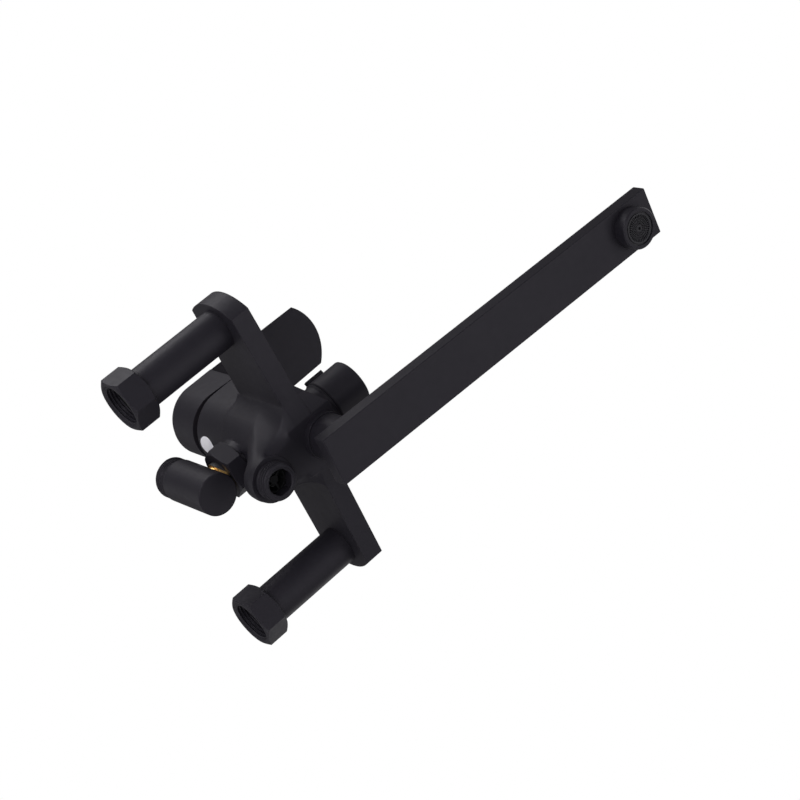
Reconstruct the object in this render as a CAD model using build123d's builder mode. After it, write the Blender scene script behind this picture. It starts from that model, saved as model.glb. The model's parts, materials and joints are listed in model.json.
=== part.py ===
from build123d import *
import os

os.makedirs("parts", exist_ok=True)

# Driving dimensions in millimetres.
# +X is the user's right, +Y points into the wall, +Z is up.
# The origin is midway between the inlets, on the plane of the union nuts' open ends.

# Clearances
thread_gap = 0.05
running_gap = 0.06
free_gap = 0.35
end_gap = 0.3
edge_break = 0.6

# Supply legs and union nuts
inlet_spacing = 150.0
standoff = 69.0
leg_radius = 11.4
leg_bore = 7.6
leg_flange_step = 1.55
leg_flange_length = 2.3
spigot_radius = 9.5
spigot_length = 8.0
inlet_thread_radius = 12.06
inlet_thread_length = 7.2
inlet_mouth_chamfer = 0.7
washer_thickness = 2.0
washer_lap = 0.5
filter_step = 1.4
filter_thickness = 0.5
filter_hole_radius = 0.9
filter_hole_pitch = 2.8
filter_hole_rows = 5
nut_wall = 1.2
nut_lip = 2.7
nut_chamfer = 1.0
left_nut_turn = 30.3
right_nut_turn = 34.5
hexagon = 6

# Bar
bar_depth = 11.5
bar_half_height = 20.45
bar_drop = 4.05
bar_corner_margin = 8.5
bar_end_margin = 15.5
channel_radius = 2.5
channel_height = 5.0
inlet_port_x = 11.0

# Column for the cartridge
column_setback = 1.5
column_radius = 22.4
column_reach = 21.5
column_corner = 9.0
column_foot = 0.0
riser_height = 11.5
riser_port_radius = 6.5
floor_web = 7.5

# Flare from the column to the bar and to the hose outlet
flare_half_width = 27.0
flare_top = 22.7
flare_break = -4.0
flare_foot = -23.0
flare_opening = 65.0
facet_inset = 1.6
flare_step = 0.5
quarter_turn = 90.0
flare_arrival = (1.0, -0.6)

# Cartridge
base_seal_thickness = 1.5
fixed_disc_thickness = 3.2
moving_disc_thickness = 2.8
moving_disc_radius = 10.5
carrier_thickness = 4.8
carrier_radius = 11.5
carrier_floor = 0.7
driver_gap = 0.7
driver_radius = 12.0
driver_flange_step = 1.5
driver_flange_thickness = 3.4
driver_rise = 2.0
housing_wall = 2.0
housing_top_wall = 2.5
cartridge_radius = 17.5
cartridge_neck_wall = 2.0
cartridge_nut_depth = 5.5
cartridge_nut_step = 1.9
cartridge_nut_notches = 6
notch_width = 3.0
notch_depth = 1.6
ball_radius = 2.2
stem_neck_radius = 1.76
ball_drop = 8.0
blade_width = 7.0
blade_depth = 5.0
stem_width = 8.0
stem_height = 18.0
pin_radius = 1.5
mixed_port_radius = 3.0
mixed_port_offset = 7.0

# Lever handle
handle_radius = 21.8
skirt_gap_front = 1.0
skirt_gap_rear = 6.0
skirt_wall = 3.0
skirt_reach = 16.5
skirt_height = 28.0
plate_thickness = 4.0
plate_reach = 79.1
plate_tip = 7.8
plate_taper = 1.0
plate_draft = 25.0
plate_edge = 0.8
hub_wall = 3.5
hub_gap = 3.0
set_screw_radius = 2.5
set_screw_rise = 6.5
plug_depth = 1.4
plug_radius = 3.4

# Diverter
diverter_height = -1.6
diverter_bore = 8.5
diverter_depth = 35.4
housing_half_width = 15.0
housing_bottom = -26.5
housing_reach = 11.9
housing_heel = 7.0
sleeve_wall = 2.0
sleeve_port_radius = 2.4
rotor_bore = 3.6
spindle_radius = 4.0
spindle_grip = 12.4
collar_radius = 13.35
collar_length = 7.6
collar_spigot = 2.4
spindle_seal_step = 1.6
spindle_seal_thickness = 1.6
knob_gap = 0.4
knob_radius = 14.25
knob_length = 21.1
knob_edge = 0.5
knob_rear_edge = 1.0
fin_angle = 144.6
fin_radius = 16.3
fin_root = 10.0
fin_thickness = 3.0
fin_length = 11.9
knob_cap_radius = 11.0
knob_cap_thickness = 2.0
knob_screw_head_radius = 3.7
knob_screw_head = 2.2
knob_screw_radius = 1.9
knob_screw_length = 11.0
knob_web = 3.7

# Spout
neck_setback = 0.8
neck_radius = 12.2
neck_length = 17.9
neck_bore = 5.5
neck_groove = 0.4
neck_spigot_radius = 9.0
neck_spigot_length = 15.8
neck_foot_radius = 8.0
spout_collar_radius = 12.9
spout_collar_height = 3.5
spout_feed_radius = 4.0
clip_step = 1.6
clip_thickness = 1.8
clip_gap_width = 6.0
clip_seat = 4.4
seal_radius = 1.0
upper_seal_depth = 3.0
seal_spacing = 3.0
spout_width = 29.3
spout_thickness = 9.0
spout_heel = 16.7
spout_reach = 231.0
spout_rest_swivel = 2.1
spout_roof = 2.5
spout_floor = 2.0
spout_channel_width = 12.0

# Aerator
aerator_margin = 18.3
aerator_radius = 12.0
aerator_drop = 7.7
aerator_spigot_radius = 10.9
aerator_spigot_length = 3.3
aerator_seal_thickness = 1.0
aerator_lip = 0.9
aerator_opening = 9.6
insert_flange_step = 0.9
insert_face_thickness = 2.6
insert_height = 6.0
insert_wall = 1.3
insert_hole_radius = 0.6
insert_ring_pitch = 2.4
insert_rings = 3
insert_first_ring = 6

# Hose outlet and its check valve
outlet_standoff = 26.7
outlet_boss_radius = 12.8
outlet_boss_drop = 1.0
hose_thread_radius = 10.478
hose_thread_length = 7.8
hose_thread_chamfer = 0.7
nipple_spigot_radius = 9.5
nipple_spigot_length = 8.0
hose_socket_flats = 13.0
hose_socket_depth = 6.6
outlet_seal_thickness = 1.0
outlet_feed_radius = 3.4
outlet_feed_height = -13.5
outlet_boss_cover = 1.0
hose_passage_radius = 3.0
valve_radius = 7.5
valve_wall = 1.5
valve_seat_radius = 4.0
valve_seat_thickness = 1.4
valve_spider_thickness = 1.0
valve_hub_radius = 2.4
valve_web_width = 1.2
poppet_radius = 5.0
poppet_thickness = 1.4
poppet_stem_radius = 1.2
spring_radius = 3.6
spring_wire = 0.25
spring_turns = 3.0

# Riser union and elbow
riser_standoff = 48.0
riser_boss_radius = 12.6
riser_boss_rise = 0.6
riser_port_depth = 8.5
riser_bore = 4.5
riser_drop_radius = 3.0
riser_thread_radius = 11.5
riser_thread_length = 5.0
riser_seal_thickness = 1.5
tail_flange_thickness = 1.8
tail_radius = 9.2
tail_spigot_radius = 8.0
tail_spigot_length = 5.0
tail_length = 5.2
union_flats = 27.5
union_turn = 52.0
union_chamfer = 1.2
union_lip = 2.7
elbow_radius = 11.8
elbow_foot = -2.0
elbow_top = 36.5
elbow_bore = 8.0
elbow_floor = 5.0
elbow_thread_radius = 11.455
elbow_thread_length = 10.3
elbow_thread_chamfer = 0.8

# Blank label on the column's back
label_x = -4.0
label_half_width = 5.7
label_half_height = 7.0
label_rise = 16.6
label_gap = 0.02
label_thickness = 0.15

# Derived positions
inlet_x = inlet_spacing / 2
bar_wall_y = -standoff
bar_front_y = bar_wall_y - bar_depth
bar_middle_y = bar_wall_y - bar_depth / 2
leg_end_y = -inlet_thread_length - washer_thickness
leg_flange_radius = leg_radius + leg_flange_step
leg_flange_y = leg_end_y - leg_flange_length
filter_radius = leg_bore + filter_step
nut_chamber = leg_flange_radius + free_gap
nut_shoulder_y = leg_flange_y - end_gap
nut_back_y = nut_shoulder_y - nut_lip
nut_flats = 2 * (nut_chamber + nut_wall)

cartridge_y = bar_wall_y + column_setback
cartridge_floor = riser_height + riser_port_radius + floor_web
fixed_disc_z = cartridge_floor + base_seal_thickness
moving_disc_z = fixed_disc_z + fixed_disc_thickness
carrier_z = moving_disc_z + moving_disc_thickness
driver_z = carrier_z + carrier_thickness + driver_gap
driver_flange_top = driver_z + driver_flange_thickness
housing_top_z = driver_flange_top + thread_gap
cartridge_shoulder = housing_top_z + housing_top_wall
column_top = cartridge_shoulder + cartridge_nut_depth
cartridge_neck_radius = driver_radius + running_gap + cartridge_neck_wall
cartridge_nut_radius = cartridge_radius + cartridge_nut_step
ball_z = carrier_z + carrier_floor + ball_radius
ball_shoulder = (ball_radius**2 - stem_neck_radius**2) ** 0.5
pivot_z = ball_z + ball_drop
driver_top = column_top + driver_rise
mixed_port_y = cartridge_y + mixed_port_offset

skirt_front_y = cartridge_y - skirt_reach
handle_back_y = cartridge_y + handle_radius
skirt_inner = handle_radius - skirt_wall
skirt_foot = column_top + skirt_gap_front
plate_z = column_top + skirt_height
hub_foot = driver_top + hub_gap
stem_z = hub_foot - hub_gap / 2
stem_top = stem_z + stem_height
set_screw_z = hub_foot + set_screw_rise
hub_half_width = stem_width / 2 + hub_wall

housing_front_y = bar_front_y - housing_reach
diverter_end_y = housing_front_y + diverter_depth
sleeve_inner = diverter_bore - thread_gap - sleeve_wall
rotor_radius = sleeve_inner - running_gap
sleeve_front_y = housing_front_y + collar_spigot
collar_front_y = housing_front_y - collar_length
knob_back_y = collar_front_y - knob_gap
knob_front_y = knob_back_y - knob_length
spindle_front_y = knob_back_y - spindle_grip
knob_web_y = spindle_front_y - end_gap
screw_seat_y = knob_web_y - knob_web
cap_seat_y = knob_front_y + knob_cap_thickness + end_gap

neck_y = bar_front_y - neck_setback
collar_foot = housing_bottom - spout_collar_height
neck_top = collar_foot - neck_groove
spout_top = neck_top - neck_length
spout_foot = spout_top - spout_thickness
socket_radius = neck_spigot_radius + running_gap
socket_top = neck_top + neck_spigot_length + end_gap
clip_seat_z = housing_bottom + clip_seat
clip_radius = neck_spigot_radius + clip_step
clip_bore = clip_radius + free_gap
clip_foot = clip_seat_z - clip_thickness - end_gap / 2
seal_groove = neck_spigot_radius - running_gap - 2 * seal_radius
upper_seal_z = neck_top + neck_spigot_length - upper_seal_depth
lower_seal_z = upper_seal_z - seal_spacing
neck_axis = Axis((0, neck_y, 0), (0, 0, 1))

aerator_offset = Vector(0, aerator_margin - spout_reach, 0).rotate(Axis.Z, spout_rest_swivel)
aerator_x = aerator_offset.X
aerator_y = neck_y + aerator_offset.Y
aerator_foot = spout_foot - aerator_drop
aerator_spigot_top = spout_foot + aerator_spigot_length
aerator_seat = aerator_spigot_top + aerator_seal_thickness
insert_radius = aerator_opening - end_gap
insert_flange_z = aerator_foot + aerator_lip
insert_flange_radius = insert_radius + insert_flange_step
aerator_inner = insert_flange_radius + thread_gap
aerator_axis = Axis((aerator_x, aerator_y, 0), (0, 0, 1))

outlet_y = bar_wall_y + outlet_standoff
boss_foot = housing_bottom - outlet_boss_drop
nipple_foot = boss_foot - hose_thread_length
nipple_top = boss_foot + nipple_spigot_length
outlet_bore_top = nipple_top + outlet_seal_thickness
valve_foot = nipple_foot + hose_socket_depth
seat_z = nipple_top - valve_seat_thickness
poppet_top = seat_z - thread_gap
poppet_foot = poppet_top - poppet_thickness
spider_top = valve_foot + valve_spider_thickness
outlet_axis = Axis((0, outlet_y, 0), (0, 0, 1))

column_back_y = cartridge_y + column_radius
riser_y = bar_wall_y + riser_standoff
boss_back_y = column_back_y + riser_boss_rise
riser_port_y = boss_back_y - riser_port_depth
riser_thread_y = boss_back_y + riser_thread_length
tail_y = riser_thread_y + riser_seal_thickness
tail_shoulder_y = tail_y + tail_flange_thickness
union_lip_y = tail_shoulder_y + thread_gap
union_back_y = union_lip_y + union_lip
tail_end_y = tail_shoulder_y + tail_length
union_inner = riser_thread_radius + thread_gap
elbow_thread_top = elbow_top + elbow_thread_length
riser_axis = Axis((0, 0, riser_height), (0, 1, 0))
elbow_axis = Axis((0, riser_y, 0), (0, 0, 1))

label_z = riser_height + riser_boss_radius + label_rise
cartridge_axis = Axis((0, cartridge_y, 0), (0, 0, 1))
diverter_axis = Axis((0, 0, diverter_height), (0, 1, 0))


def upright(x, y, corners):
    """Half outline, as radius and height, of a piece turned about an upright axis."""
    with BuildSketch(Plane(origin=(x, y, 0), x_dir=(1, 0, 0), z_dir=(0, -1, 0))) as outline:
        with BuildLine():
            Polyline(*corners, close=True)
        make_face()
    return outline.sketch


def outward(x, z, corners):
    """Half outline, as radius and distance along Y, of a piece turned about an axis along Y."""
    with BuildSketch(Plane(origin=(x, 0, z), x_dir=(1, 0, 0), z_dir=(0, 0, 1))) as outline:
        with BuildLine():
            Polyline(*corners, close=True)
        make_face()
    return outline.sketch


def disc(origin, direction, radius):
    """Round outline at a point, facing along a direction."""
    with BuildSketch(Plane(origin=origin, z_dir=direction)) as outline:
        Circle(radius)
    return outline.sketch


def block(origin, width, depth):
    """Rectangular outline centred on a point, facing up."""
    with BuildSketch(Plane(origin=origin)) as outline:
        Rectangle(width, depth)
    return outline.sketch


def round_back(z, half_width, front_y):
    """Plan with a round back about the cartridge axis, straight sides and a flat front."""
    with BuildSketch(Plane.XY.offset(z)) as outline:
        with BuildLine():
            ThreePointArc(
                (-half_width, cartridge_y),
                (0, cartridge_y + half_width),
                (half_width, cartridge_y),
            )
            Polyline(
                (half_width, cartridge_y),
                (half_width, front_y),
                (-half_width, front_y),
                (-half_width, cartridge_y),
            )
        make_face()
    return outline.sketch


def flare(z, centre_y, radius, opening, half_width, front_y):
    """Bell-shaped plan: a round back that runs out to the bar's wall face on both sides."""
    back = Vector(0, radius, 0)
    left = back.rotate(Axis.Z, opening)
    right = back.rotate(Axis.Z, -opening)
    leave = Vector(1, 0, 0).rotate(Axis.Z, -opening)
    wall = bar_wall_y - centre_y
    front = front_y - centre_y
    with BuildSketch(Plane(origin=(0, centre_y, z))) as outline:
        with BuildLine():
            ThreePointArc(left, back, right)
            Spline(right, (half_width, wall), tangents=(leave, flare_arrival))
            Polyline((half_width, wall), (half_width, front), (-half_width, front), (-half_width, wall))
            Spline(
                (-half_width, wall),
                left,
                tangents=((flare_arrival[0], -flare_arrival[1]), (leave.X, -leave.Y)),
            )
        make_face()
    return outline.sketch


# Body casting
with BuildPart() as body_casting:
    extrude(
        round_back(column_foot, column_radius, cartridge_y - column_reach),
        amount=column_top - column_foot,
    )
    fillet(body_casting.edges().filter_by(Axis.Z).group_by(Axis.Y)[0], column_corner)
    chamfer(body_casting.edges().group_by(Axis.Z)[-1], edge_break / 2)
    with BuildSketch(Plane.XZ.offset(standoff)):
        with BuildLine():
            bar_middle_z = -bar_half_height - bar_drop
            bar_corner_x = inlet_x + bar_corner_margin
            bar_corner_z = bar_middle_z + bar_drop * bar_corner_x / inlet_x
            bar_end_x = inlet_x + bar_end_margin
            Line((-bar_corner_x, bar_half_height), (bar_corner_x, bar_half_height))
            ThreePointArc(
                (bar_corner_x, bar_half_height), (bar_end_x, 0), (bar_corner_x, bar_corner_z)
            )
            Polyline(
                (bar_corner_x, bar_corner_z), (0, bar_middle_z), (-bar_corner_x, bar_corner_z)
            )
            ThreePointArc(
                (-bar_corner_x, bar_corner_z), (-bar_end_x, 0), (-bar_corner_x, bar_half_height)
            )
        make_face()
    extrude(amount=bar_depth)
    flare_plan = flare(
        flare_break, cartridge_y, column_radius + flare_step, flare_opening, flare_half_width, bar_middle_y
    )
    extrude(flare_plan, amount=flare_top - flare_break)
    skirt_radius = outlet_boss_radius + flare_step
    loft(
        [
            flare_plan,
            flare(flare_foot, outlet_y, skirt_radius, quarter_turn, flare_half_width, bar_middle_y),
        ]
    )
    # The underside slopes from the flare's lower edge to a flat facet
    facet_radius = outlet_boss_radius - facet_inset
    loft(
        [
            flare(flare_foot, outlet_y, skirt_radius, quarter_turn, flare_half_width, bar_front_y),
            flare(housing_bottom, outlet_y, facet_radius, quarter_turn, housing_half_width, bar_front_y),
        ]
    )
    extrude(
        disc((0, outlet_y, boss_foot), (0, 0, 1), outlet_boss_radius),
        amount=outlet_bore_top + outlet_boss_cover - boss_foot,
    )
    with BuildSketch(Plane.XZ.offset(standoff - housing_heel)):
        with BuildLine():
            Polyline(
                (-housing_half_width, diverter_height),
                (-housing_half_width, housing_bottom),
                (housing_half_width, housing_bottom),
                (housing_half_width, diverter_height),
            )
            ThreePointArc(
                (housing_half_width, diverter_height),
                (0, diverter_height + housing_half_width),
                (-housing_half_width, diverter_height),
            )
        make_face()
    extrude(amount=housing_heel + bar_depth + housing_reach)
    extrude(
        disc((0, cartridge_y, riser_height), (0, 1, 0), riser_boss_radius),
        amount=boss_back_y - cartridge_y,
    )
    # Cartridge bore, its nut's thread and its three ports
    extrude(
        disc((0, cartridge_y, cartridge_floor), (0, 0, 1), cartridge_radius + thread_gap),
        amount=column_top - cartridge_floor,
        mode=Mode.SUBTRACT,
    )
    extrude(
        disc((0, cartridge_y, cartridge_shoulder), (0, 0, 1), cartridge_nut_radius + thread_gap),
        amount=cartridge_nut_depth,
        mode=Mode.SUBTRACT,
    )
    extrude(
        disc((0, mixed_port_y, cartridge_floor), (0, 0, -1), mixed_port_radius),
        amount=cartridge_floor - diverter_height,
        mode=Mode.SUBTRACT,
    )
    for x, inward in ((-inlet_x, 1), (inlet_x, -1)):
        extrude(
            disc((x, bar_wall_y, 0), (0, -1, 0), spigot_radius + thread_gap),
            amount=spigot_length + end_gap,
            mode=Mode.SUBTRACT,
        )
        extrude(
            disc((x, bar_middle_y, channel_height), (inward, 0, 0), channel_radius),
            amount=inlet_x - inlet_port_x,
            mode=Mode.SUBTRACT,
        )
        extrude(
            disc((-inward * inlet_port_x, bar_middle_y, channel_height), (0, 0, 1), channel_radius),
            amount=cartridge_floor - channel_height,
            mode=Mode.SUBTRACT,
        )
    # Diverter bore with its three outlets: spout below, hose and riser behind
    extrude(
        disc((0, housing_front_y, diverter_height), (0, 1, 0), diverter_bore),
        amount=diverter_depth,
        mode=Mode.SUBTRACT,
    )
    extrude(
        disc((0, neck_y, socket_top), (0, 0, 1), spout_feed_radius),
        amount=diverter_height - socket_top,
        mode=Mode.SUBTRACT,
    )
    extrude(
        disc((0, neck_y, housing_bottom), (0, 0, 1), socket_radius),
        amount=socket_top - housing_bottom,
        mode=Mode.SUBTRACT,
    )
    extrude(
        disc((0, neck_y, housing_bottom), (0, 0, 1), clip_bore),
        amount=clip_seat,
        mode=Mode.SUBTRACT,
    )
    extrude(
        disc((0, mixed_port_y, outlet_feed_height), (0, 0, 1), hose_passage_radius),
        amount=diverter_height - outlet_feed_height,
        mode=Mode.SUBTRACT,
    )
    extrude(
        disc((0, mixed_port_y, outlet_feed_height), (0, 1, 0), hose_passage_radius),
        amount=outlet_y - mixed_port_y,
        mode=Mode.SUBTRACT,
    )
    extrude(
        disc((0, outlet_y, boss_foot), (0, 0, 1), nipple_spigot_radius + thread_gap),
        amount=outlet_bore_top - boss_foot,
        mode=Mode.SUBTRACT,
    )
    extrude(
        disc((0, outlet_y, boss_foot), (0, 0, 1), outlet_feed_radius),
        amount=outlet_feed_height - boss_foot,
        mode=Mode.SUBTRACT,
    )
    extrude(
        disc((0, boss_back_y, riser_height), (0, -1, 0), riser_port_radius),
        amount=riser_port_depth,
        mode=Mode.SUBTRACT,
    )
    riser_drop_y = riser_port_y + riser_drop_radius
    extrude(
        disc((0, riser_drop_y, diverter_height), (0, 0, 1), riser_drop_radius),
        amount=riser_height - diverter_height,
        mode=Mode.SUBTRACT,
    )
    extrude(
        disc((0, diverter_end_y, diverter_height), (0, 1, 0), riser_drop_radius),
        amount=riser_drop_y - diverter_end_y,
        mode=Mode.SUBTRACT,
    )
body_casting.part.label = "body_casting"
export_step(body_casting.part, "parts/body_casting.step")

# Inlet legs, washers, filter screens and captive nuts
for side, x, inward, nut_turn in (
    ("left", -inlet_x, 1, left_nut_turn),
    ("right", inlet_x, -1, right_nut_turn),
):
    leg_axis = Axis((x, 0, 0), (0, 1, 0))
    with BuildPart() as inlet_leg:
        revolve(
            outward(
                x,
                0,
                [
                    (leg_bore, bar_wall_y - spigot_length),
                    (spigot_radius, bar_wall_y - spigot_length),
                    (spigot_radius, bar_wall_y),
                    (leg_radius, bar_wall_y),
                    (leg_radius, leg_flange_y),
                    (leg_flange_radius, leg_flange_y),
                    (leg_flange_radius, leg_end_y),
                    (filter_radius + thread_gap, leg_end_y),
                    (filter_radius + thread_gap, leg_end_y - filter_thickness),
                    (leg_bore, leg_end_y - filter_thickness),
                ],
            ),
            axis=leg_axis,
        )
        extrude(
            disc((x, bar_middle_y, channel_height), (inward, 0, 0), channel_radius),
            amount=spigot_radius,
            mode=Mode.SUBTRACT,
        )
    inlet_leg.part.label = f"{side}_inlet_leg"
    export_step(inlet_leg.part, f"parts/{side}_inlet_leg.step")

    with BuildPart() as filter_screen:
        extrude(disc((x, leg_end_y, 0), (0, -1, 0), filter_radius), amount=filter_thickness)
        with BuildSketch(Plane.XZ.offset(-leg_end_y)):
            with Locations((x, 0)):
                with HexLocations(filter_hole_pitch / 2, filter_hole_rows, filter_hole_rows):
                    Circle(filter_hole_radius)
        extrude(amount=filter_thickness, mode=Mode.SUBTRACT)
    filter_screen.part.label = f"{side}_filter_screen"
    export_step(filter_screen.part, f"parts/{side}_filter_screen.step")

    with BuildPart() as inlet_washer:
        extrude(
            disc((x, leg_end_y, 0), (0, 1, 0), inlet_thread_radius + washer_lap),
            amount=washer_thickness,
        )
        extrude(
            disc((x, leg_end_y, 0), (0, 1, 0), leg_bore),
            amount=washer_thickness,
            mode=Mode.SUBTRACT,
        )
    inlet_washer.part.label = f"{side}_inlet_washer"
    export_step(inlet_washer.part, f"parts/{side}_inlet_washer.step")

    with BuildPart() as union_nut:
        with BuildSketch(Plane.XZ):
            with Locations((x, 0)):
                RegularPolygon(nut_flats / 2, hexagon, major_radius=False, rotation=nut_turn)
        extrude(amount=-nut_back_y)
        nut_corner = nut_flats / 2 + nut_chamfer
        revolve(
            outward(
                x,
                0,
                [
                    (0, nut_back_y),
                    (nut_corner - nut_chamfer, nut_back_y),
                    (nut_corner + nut_chamfer, nut_back_y + nut_chamfer),
                    (nut_corner + nut_chamfer, -nut_chamfer),
                    (nut_corner - nut_chamfer, 0),
                    (0, 0),
                ],
            ),
            axis=leg_axis,
            mode=Mode.INTERSECT,
        )
        revolve(
            outward(
                x,
                0,
                [
                    (0, nut_back_y),
                    (leg_radius + free_gap, nut_back_y),
                    (leg_radius + free_gap, nut_shoulder_y),
                    (nut_chamber, nut_shoulder_y),
                    (nut_chamber, -inlet_thread_length),
                    (inlet_thread_radius, -inlet_thread_length),
                    (inlet_thread_radius, -inlet_mouth_chamfer),
                    (inlet_thread_radius + inlet_mouth_chamfer, 0),
                    (0, 0),
                ],
            ),
            axis=leg_axis,
            mode=Mode.SUBTRACT,
        )
    union_nut.part.label = f"{side}_union_nut"
    export_step(union_nut.part, f"parts/{side}_union_nut.step")

# Mixing cartridge, from its seal up to the nut that holds it
port_centres = [
    (-inlet_port_x, bar_middle_y - cartridge_y),
    (inlet_port_x, bar_middle_y - cartridge_y),
]
with BuildPart() as cartridge_base_seal:
    with BuildSketch(Plane(origin=(0, cartridge_y, cartridge_floor))):
        Circle(cartridge_radius)
        with Locations(*port_centres):
            Circle(channel_radius, mode=Mode.SUBTRACT)
        with Locations((0, mixed_port_offset)):
            Circle(mixed_port_radius, mode=Mode.SUBTRACT)
    extrude(amount=base_seal_thickness)
cartridge_base_seal.part.label = "cartridge_base_seal"
export_step(cartridge_base_seal.part, "parts/cartridge_base_seal.step")

housing_inner = cartridge_radius - housing_wall
with BuildPart() as cartridge_housing:
    revolve(
        upright(
            0,
            cartridge_y,
            [
                (housing_inner, fixed_disc_z),
                (cartridge_radius, fixed_disc_z),
                (cartridge_radius, cartridge_shoulder),
                (cartridge_neck_radius, cartridge_shoulder),
                (cartridge_neck_radius, column_top + end_gap),
                (driver_radius + running_gap, column_top + end_gap),
                (driver_radius + running_gap, housing_top_z),
                (housing_inner, housing_top_z),
            ],
        ),
        axis=cartridge_axis,
    )
cartridge_housing.part.label = "cartridge_housing"
export_step(cartridge_housing.part, "parts/cartridge_housing.step")

with BuildPart() as fixed_disc:
    with BuildSketch(Plane(origin=(0, cartridge_y, fixed_disc_z))):
        Circle(housing_inner - thread_gap)
        with Locations(*port_centres):
            Circle(channel_radius, mode=Mode.SUBTRACT)
        with Locations((0, mixed_port_offset)):
            Circle(mixed_port_radius, mode=Mode.SUBTRACT)
    extrude(amount=fixed_disc_thickness)
fixed_disc.part.label = "fixed_disc"
export_step(fixed_disc.part, "parts/fixed_disc.step")

with BuildPart() as moving_disc:
    extrude(
        disc((0, cartridge_y, moving_disc_z), (0, 0, 1), moving_disc_radius),
        amount=moving_disc_thickness,
    )
    extrude(
        disc((0, cartridge_y, moving_disc_z), (0, 0, 1), moving_disc_radius / 2),
        amount=moving_disc_thickness / 2,
        mode=Mode.SUBTRACT,
    )
moving_disc.part.label = "moving_disc"
export_step(moving_disc.part, "parts/moving_disc.step")

with BuildPart() as disc_carrier:
    extrude(
        disc((0, cartridge_y, carrier_z), (0, 0, 1), carrier_radius), amount=carrier_thickness
    )
    pocket = 2 * (ball_radius + end_gap)
    extrude(
        block((0, cartridge_y, carrier_z + carrier_floor - end_gap), pocket, pocket),
        amount=carrier_thickness,
        mode=Mode.SUBTRACT,
    )
disc_carrier.part.label = "disc_carrier"
export_step(disc_carrier.part, "parts/disc_carrier.step")

with BuildPart() as cartridge_driver:
    revolve(
        upright(
            0,
            cartridge_y,
            [
                (0, driver_z),
                (driver_radius + driver_flange_step, driver_z),
                (driver_radius + driver_flange_step, driver_flange_top),
                (driver_radius, driver_flange_top),
                (driver_radius, driver_top),
                (0, driver_top),
            ],
        ),
        axis=cartridge_axis,
    )
    extrude(
        block((0, cartridge_y, driver_z), blade_width + 2 * end_gap, 2 * blade_depth + 2 * end_gap),
        amount=driver_top - driver_z,
        mode=Mode.SUBTRACT,
    )
    extrude(
        disc((-driver_radius, cartridge_y, pivot_z), (1, 0, 0), pin_radius + thread_gap),
        amount=2 * driver_radius,
        mode=Mode.SUBTRACT,
    )
cartridge_driver.part.label = "cartridge_driver"
export_step(cartridge_driver.part, "parts/cartridge_driver.step")

with BuildPart() as pivot_pin:
    pin_half_length = driver_radius - edge_break
    extrude(
        disc((-pin_half_length, cartridge_y, pivot_z), (1, 0, 0), pin_radius),
        amount=2 * pin_half_length,
    )
pivot_pin.part.label = "pivot_pin"
export_step(pivot_pin.part, "parts/pivot_pin.step")

with BuildPart() as cartridge_stem:
    extrude(
        block((0, cartridge_y, driver_z), blade_width, blade_depth), amount=stem_z - driver_z
    )
    extrude(block((0, cartridge_y, stem_z), stem_width, stem_width), amount=stem_height)
    extrude(disc((0, cartridge_y, ball_z), (0, 0, 1), stem_neck_radius), amount=driver_z - ball_z)
    revolve(
        upright(
            0,
            cartridge_y,
            [
                (0, ball_z - ball_radius),
                (stem_neck_radius, ball_z - ball_shoulder),
                (ball_radius, ball_z),
                (stem_neck_radius, ball_z + ball_shoulder),
                (0, ball_z + ball_radius),
            ],
        ),
        axis=cartridge_axis,
    )
    extrude(
        disc((-blade_width, cartridge_y, pivot_z), (1, 0, 0), pin_radius + running_gap),
        amount=2 * blade_width,
        mode=Mode.SUBTRACT,
    )
cartridge_stem.part.label = "cartridge_stem"
export_step(cartridge_stem.part, "parts/cartridge_stem.step")

with BuildPart() as cartridge_nut:
    nut_ring = cartridge_neck_radius + end_gap
    revolve(
        upright(
            0,
            cartridge_y,
            [
                (nut_ring, cartridge_shoulder),
                (cartridge_nut_radius, cartridge_shoulder),
                (cartridge_nut_radius, column_top - end_gap),
                (nut_ring, column_top - end_gap),
            ],
        ),
        axis=cartridge_axis,
    )
    with BuildSketch(Plane(origin=(0, cartridge_y, column_top))):
        with PolarLocations(cartridge_nut_radius, cartridge_nut_notches):
            Rectangle(cartridge_nut_radius - nut_ring, notch_width)
    extrude(amount=-notch_depth - end_gap, mode=Mode.SUBTRACT)
cartridge_nut.part.label = "cartridge_nut"
export_step(cartridge_nut.part, "parts/cartridge_nut.step")

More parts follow.
